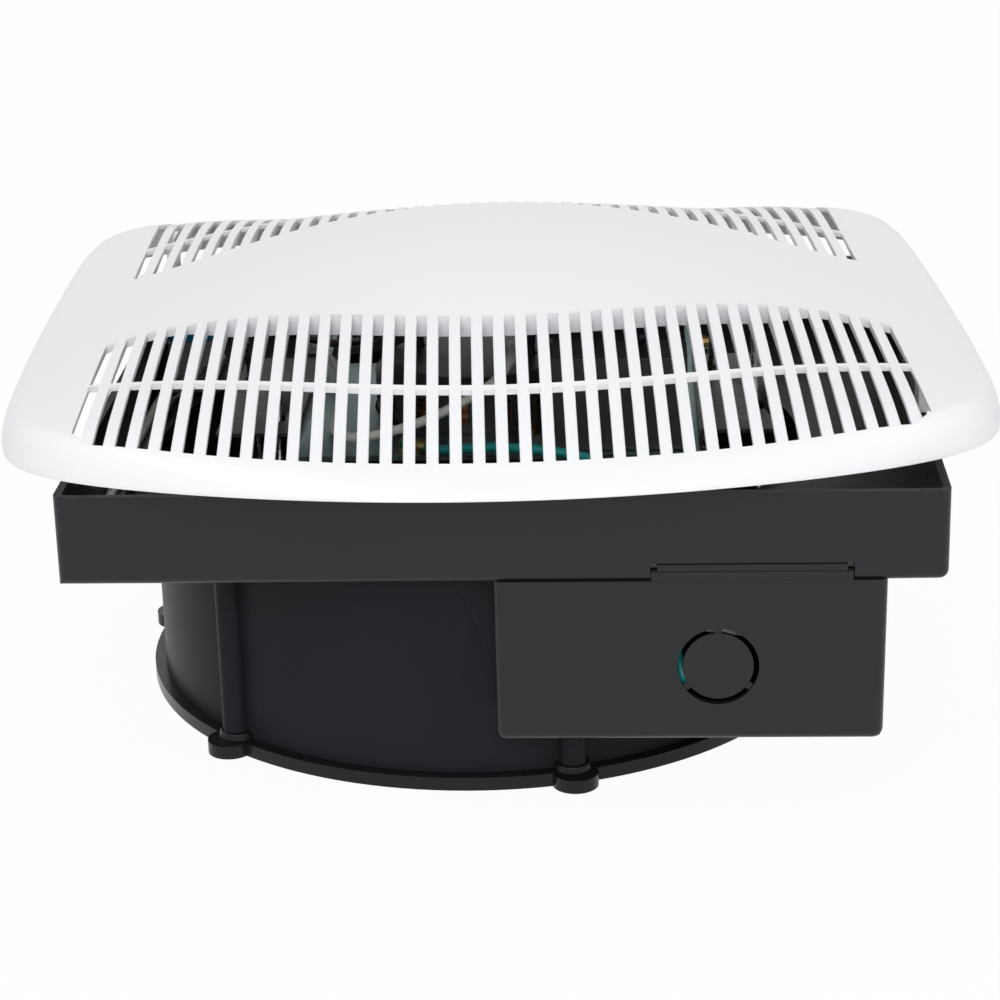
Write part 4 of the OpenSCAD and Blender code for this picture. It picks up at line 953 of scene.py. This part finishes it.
@dataclass
class FanWheel:
    """Hub and cambered blades of the axial fan."""

    tip: float = 93.0
    root: float = 15.5
    hub: float = 17.0
    hub_height: float = 20.0
    middle_z: float = 24.0
    bore: float = 4.0
    count: int = 5
    chord_root: float = 30.0
    chord_tip: float = 46.0
    pitch_root: float = 34.0
    pitch_tip: float = 20.0
    camber: float = 2.6
    thickness: float = 1.6
    steps: int = 14
    chord_steps: int = 10
    widening: float = 1.5
    tip_from: float = 0.86
    tip_cut: float = 0.18
    least_share: float = 0.25
    bore_land: float = 4.0
    bore_round: float = 1.0
    low_round: float = 1.5
    high_round: float = 2.5
    hub_steps: int = 64

    def blade(self, bm: BMesh, turn: float) -> None:
        """Add one blade, lofted from root to tip and thickened.

        Args:
            bm: the wheel's mesh.
            turn: its angle round the hub, in radians.
        """
        span = self.tip - self.root
        made = bmesh.ops.create_grid(bm, x_segments=self.steps, y_segments=self.chord_steps,
                                     size=0.5)
        verts = made["verts"]
        for vert in verts:
            s, c = vert.co.x + 0.5, vert.co.y
            radius = self.root + span * s
            grown = min(1.0, self.widening * s)
            chord = self.chord_root + (self.chord_tip - self.chord_root) * grown
            corner = max(0.0, (s - self.tip_from) / (1 - self.tip_from))
            chord *= 1 - self.tip_cut * corner * corner
            pitch = math.radians(self.pitch_root + (self.pitch_tip - self.pitch_root) * s)
            along = c * chord
            rise = self.camber * (1 - 4 * c * c)
            flat = along * math.cos(pitch) - rise * math.sin(pitch)
            angle = flat / (self.root + span * max(s, self.least_share))
            height = self.middle_z + along * math.sin(pitch) + rise * math.cos(pitch)
            vert.co = Vector((radius * math.cos(angle), radius * math.sin(angle), height))
        bmesh.ops.rotate(bm, verts=verts, cent=(0, 0, 0), matrix=Matrix.Rotation(turn, 3, "Z"))
        faces = list({face for vert in verts for face in vert.link_faces})
        bmesh.ops.solidify(bm, geom=faces, thickness=self.thickness)

    def hub_ring(self, bm: BMesh) -> None:
        """Spin the hub's profile round the fan's axis.

        Args:
            bm: the wheel's mesh.
        """
        low, high = self.middle_z - self.hub_height / 2, self.middle_z + self.hub_height / 2
        profile = ((self.bore, low + self.bore_round), (self.bore + self.bore_land, low),
                   (self.hub - self.low_round, low), (self.hub, low + self.low_round),
                   (self.hub, high - self.high_round), (self.hub - self.high_round, high),
                   (self.bore + self.bore_land, high), (self.bore, high - self.bore_round))
        verts = [bm.verts.new((r, 0.0, z)) for r, z in profile]
        edges = [bm.edges.new(pair) for pair in zip(verts, verts[1:] + verts[:1])]
        bmesh.ops.spin(bm, geom=verts + edges, cent=(0, 0, 0), axis=(0, 0, 1), angle=2 * math.pi,
                       steps=self.hub_steps, use_merge=True)
        bmesh.ops.remove_doubles(bm, verts=bm.verts, dist=MERGE / 2)

    def build(self) -> None:
        """Build the wheel."""
        bm = bmesh.new()
        for i in range(self.count):
            self.blade(bm, 2 * math.pi * i / self.count)
        self.hub_ring(bm)
        bmesh.ops.recalc_face_normals(bm, faces=bm.faces)
        piece = publish(bm, "fan_wheel", Body.ROTOR, Finish.FAN_BLACK,
                        ("fan_blades",))
        add_bevel(piece, width_mm=0.4)


@dataclass
class RoundedLead:
    """A lead drawn again from its CAD tube, with a round section."""

    node: str
    colour: str
    swell: float = 0.08
    smooth_deg: float = 70.0

    def build(self) -> None:
        """Copy the tube, make up for what smoothing takes off, and smooth it."""
        bm = copy_of(self.node)
        bm.normal_update()
        for vert in bm.verts:
            vert.co += vert.normal * self.swell
        piece = publish(bm, self.node + "_round", Body.BOX,
                        Finish[self.colour.upper() + "_LEAD"], (self.node,), self.smooth_deg)
        smooth = piece.modifiers.new("round", "SUBSURF")
        smooth.levels = smooth.render_levels = 1


@dataclass
class Interior:
    """The inner pieces and leads, shown again with rounded edges."""

    softened: tuple[SoftenedNode, ...] = (
        SoftenedNode("motor_bracket", "zinc_sheet", Finish.ZINC, 0.35),
        SoftenedNode("spring_brackets", "zinc_sheet", Finish.BRACKET_STEEL, 0.3),
        SoftenedNode("wiring_cover", "zinc_sheet", Finish.BRACKET_STEEL, 0.35),
        SoftenedNode("capacitor", "capacitor_case", Finish.CAPACITOR_CASE, 0.9, 3),
        SoftenedNode("receptacle", "grey_plastic", Finish.GREY_SOCKET, 0.4),
        SoftenedNode("motor_plug", "blue_plastic", Finish.BLUE_PLUG, 0.4),
        SoftenedNode("upper_end_bell", "motor_paint", Finish.MOTOR_BLACK, 0.6, 3),
        SoftenedNode("lower_end_bell", "motor_paint", Finish.MOTOR_BLACK, 0.5),
        SoftenedNode("motor_shell", "motor_paint", Finish.MOTOR_BLACK, 0.4),
    )
    leads: tuple[RoundedLead, ...] = (
        RoundedLead("lead_white", "white"), RoundedLead("lead_black", "black"),
        RoundedLead("lead_green", "green"), RoundedLead("lead_blue", "blue"),
        RoundedLead("supply_lead_white", "white"), RoundedLead("supply_lead_black", "black"),
    )

    def build(self) -> None:
        """Build the softened pieces and leads."""
        for part in self.softened + self.leads:
            part.build()


KEPT_NODES: dict[Finish, tuple[str, ...]] = {
    Finish.BLACK_SCREW: ("ring_screws", "motor_screws", "hub_screw"),
    Finish.YELLOW_ZINC: ("cover_screws", "receptacle_screws", "bracket_screws",
                         "capacitor_screw", "ground_lug"),
    Finish.GREEN_SCREW: ("ground_screw",),
    Finish.ALUMINIUM: ("spring_bracket_rivets", "flap_front", "flap_back"),
    Finish.RUBBER: ("rubber_mounts",),
    Finish.LAMINATION: ("stator_core",),
    Finish.COPPER: ("stator_windings",),
    Finish.BRIGHT_STEEL: ("upper_bearing", "lower_bearing", "motor_shaft"),
    Finish.ROTOR_CAST: ("rotor_core",),
    Finish.WIRE_NUT: ("wire_nuts",),
    Finish.SPRING_WIRE: ("damper_pin", "damper_spring", "spring_coils", "arm_left_front",
                         "arm_left_back", "arm_right_front", "arm_right_back"),
}


def dress_nodes() -> None:
    """Give the CAD nodes that stay their finishes."""
    for finish, names in KEPT_NODES.items():
        for name in names:
            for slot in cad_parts[name].material_slots:
                slot.material = finish.material()
            LOG.info("%s: %s", name, finish.value.name)


@dataclass
class PostFeet:
    """Round collars where the chamber's posts stand on the ring."""

    reach: float = 101.2
    radius: float = 5.7
    low: float = 3.9
    high: float = 6.3
    turn_deg: float = 43.0
    count: int = 6
    narrowing: float = 0.5
    sides: int = 48

    def build(self) -> None:
        """Build all six collars as one piece."""
        bm = bmesh.new()
        for i in range(self.count):
            angle = math.radians(-90 - self.turn_deg + 360 * i / self.count)
            centre = (self.reach * math.cos(angle), self.reach * math.sin(angle),
                      (self.low + self.high) / 2)
            bmesh.ops.create_cone(bm, cap_ends=True, segments=self.sides, radius1=self.radius,
                                  radius2=self.radius - self.narrowing, depth=self.high - self.low,
                                  matrix=Matrix.Translation(centre))
        # The collars wear the ring's darker copy of the black plastic: painted shade.
        piece = publish(bm, "post_feet", Body.BOX, Finish.GLOSSY_RING_PAINTED_SHADE)
        add_bevel(piece, width_mm=0.5, segments=3)


@dataclass
class BlackBox:
    """Tray, chamber, discharge ring and junction box, with moulded edges."""

    parts: tuple[SoftenedNode | PostFeet, ...] = (
        SoftenedNode("housing", "black_plastic", Finish.BLACK_BOX, 0.35, 2,
                     outer=OuterRound((-108.5, -120.0), (131.5, 120.0), 70.0, 1.3, 2.7, drop=0.6)),
        # The chamber wears the lighter copy of the black plastic: painted light.
        SoftenedNode("fan_chamber", "black_plastic", Finish.CHAMBER_PAINTED_LIGHT, 0.35, 2),
        # The ring wears the darker copy of the black plastic: painted shade.
        SoftenedNode("discharge_ring", "black_plastic", Finish.GLOSSY_RING_PAINTED_SHADE, 0.6, 3),
        SoftenedNode("junction_box", "black_plastic", Finish.BLACK_BOX, 0.35, 2,
                     outer=OuterRound((9.4, -120.0), (115.4, -58.0), 22.8, 1.3, 2.7,
                                      taper=(0.0, 0.4), height=47.0)),
        PostFeet(),
    )

    def build(self) -> None:
        """Build the mouldings."""
        for part in self.parts:
            part.build()


@dataclass(frozen=True)
class Lamp:
    """One soft square lamp aimed at a point, in metres and watts."""

    name: str
    at: Place
    aim: Place
    size: float
    power: float

    def build(self) -> None:
        """Add the lamp to the scene."""
        data = bpy.data.lights.new(self.name, "AREA")
        data.shape = "SQUARE"
        data.size = self.size
        data.energy = self.power
        lamp = placed(self.name, data)
        turn = (Vector(self.aim) - Vector(self.at)).to_track_quat("-Z", "Y").to_matrix().to_4x4()
        lamp.matrix_world = Matrix.Translation(self.at) @ turn


@dataclass
class Studio:
    """White room: floor, world, lamps and the photograph's camera."""

    focal: float = 2.754
    yaw_deg: float = -2.99
    pitch_deg: float = 19.95
    roll_deg: float = -1.49
    camera_mm: Place = (45.13, -807.75, 343.34)
    shift: Point = (0.0102, 0.0002)
    sensor: float = 36.0
    clip: Point = (0.05, 50.0)
    floor_half: float = 6.0
    floor_tone: float = 0.9
    floor_z: float = -0.3
    world_level: float = 0.55
    floor_glow: float = 0.96
    lamps: tuple[Lamp, ...] = (
        Lamp("key", (-0.7, -1.2, 1.5), (0, 0, 0.05), 1.1, 7.4),
        Lamp("front", (0.05, -1.5, 0.75), (0, 0, 0.08), 0.5, 6.2),
        Lamp("fill", (1.5, -1.0, 0.9), (0, 0, 0.05), 1.0, 4.5),
        Lamp("top", (0.1, 0.5, 2.0), (0, 0, 0.05), 1.6, 5.5),
    )

    def camera(self) -> None:
        """Place the camera at the photograph's viewing angle."""
        yaw, pitch, roll = (math.radians(a) for a in (self.yaw_deg, self.pitch_deg, self.roll_deg))
        forward = Vector((math.sin(yaw) * math.cos(pitch), math.cos(yaw) * math.cos(pitch),
                          -math.sin(pitch)))
        right = Vector((math.cos(yaw), -math.sin(yaw), 0.0))
        up = right.cross(forward)
        rolled_right = math.cos(roll) * right + math.sin(roll) * up
        rolled_up = math.cos(roll) * up - math.sin(roll) * right
        data = bpy.data.cameras.new("photo_camera")
        data.sensor_width = self.sensor
        data.lens = self.sensor * self.focal
        data.shift_x, data.shift_y = self.shift
        data.clip_start, data.clip_end = self.clip
        camera = placed("photo_camera", data)
        turn = Matrix((rolled_right, rolled_up, -forward)).transposed().to_4x4()
        camera.matrix_world = Matrix.Translation(Vector(self.camera_mm) * MM) @ turn
        bpy.context.scene.camera = camera

    def world(self) -> None:
        """White to the camera and to gloss, a plain level to the rest."""
        world = bpy.data.worlds.new("studio")
        world.use_nodes = True
        bpy.context.scene.world = world
        graph = NodeGraph(world.node_tree)
        background = graph.tree.nodes["Background"]
        graph.feed(background.inputs["Color"], (1.0, 1.0, 1.0, 1.0))
        extra = graph.seen_share() * (1.0 - self.world_level)
        graph.feed(background.inputs["Strength"], self.world_level + extra)

    def floor(self) -> None:
        """Add the pale floor that keeps the fan's shadow."""
        bm = bmesh.new()
        bmesh.ops.create_grid(bm, x_segments=1, y_segments=1, size=self.floor_half,
                              matrix=Matrix.Translation((0, 0, self.floor_z * MM)))
        mesh = bpy.data.meshes.new("studio_floor")
        bm.to_mesh(mesh)
        bm.free()
        floor = placed("studio_floor", mesh)
        graph = ShaderGraph("studio_floor")
        graph.set(Base_Color=(self.floor_tone,) * 3 + (1.0,), Roughness=0.9)
        glow = graph.add("ShaderNodeEmission", {}, {"Color": (1.0, 1.0, 1.0, 1.0)})
        share = graph.seen_share() * self.floor_glow
        mixed = graph.add("ShaderNodeMixShader", {}, {0: share, 2: glow})
        graph.tree.links.new(graph.shader.outputs[0], mixed.socket.node.inputs[1])
        graph.feed(graph.tree.nodes["Material Output"].inputs["Surface"], mixed)
        mesh.materials.append(graph.material)

    def build(self) -> None:
        """Build the whole studio."""
        bpy.context.scene.view_settings.view_transform = "Standard"
        self.camera()
        self.world()
        self.floor()
        for lamp in self.lamps:
            lamp.build()


def main() -> None:
    """Build the studio and every sub-assembly in order."""
    logging.basicConfig(level=logging.INFO, format="%(name)s %(message)s")
    for part in (Studio(), BlackBox(), GrillePanel(), GrilleFittings(), FanWheel(), Interior()):
        part.build()
        LOG.info("built %s", type(part).__name__)
    dress_nodes()


if __name__ == "__main__":
    main()
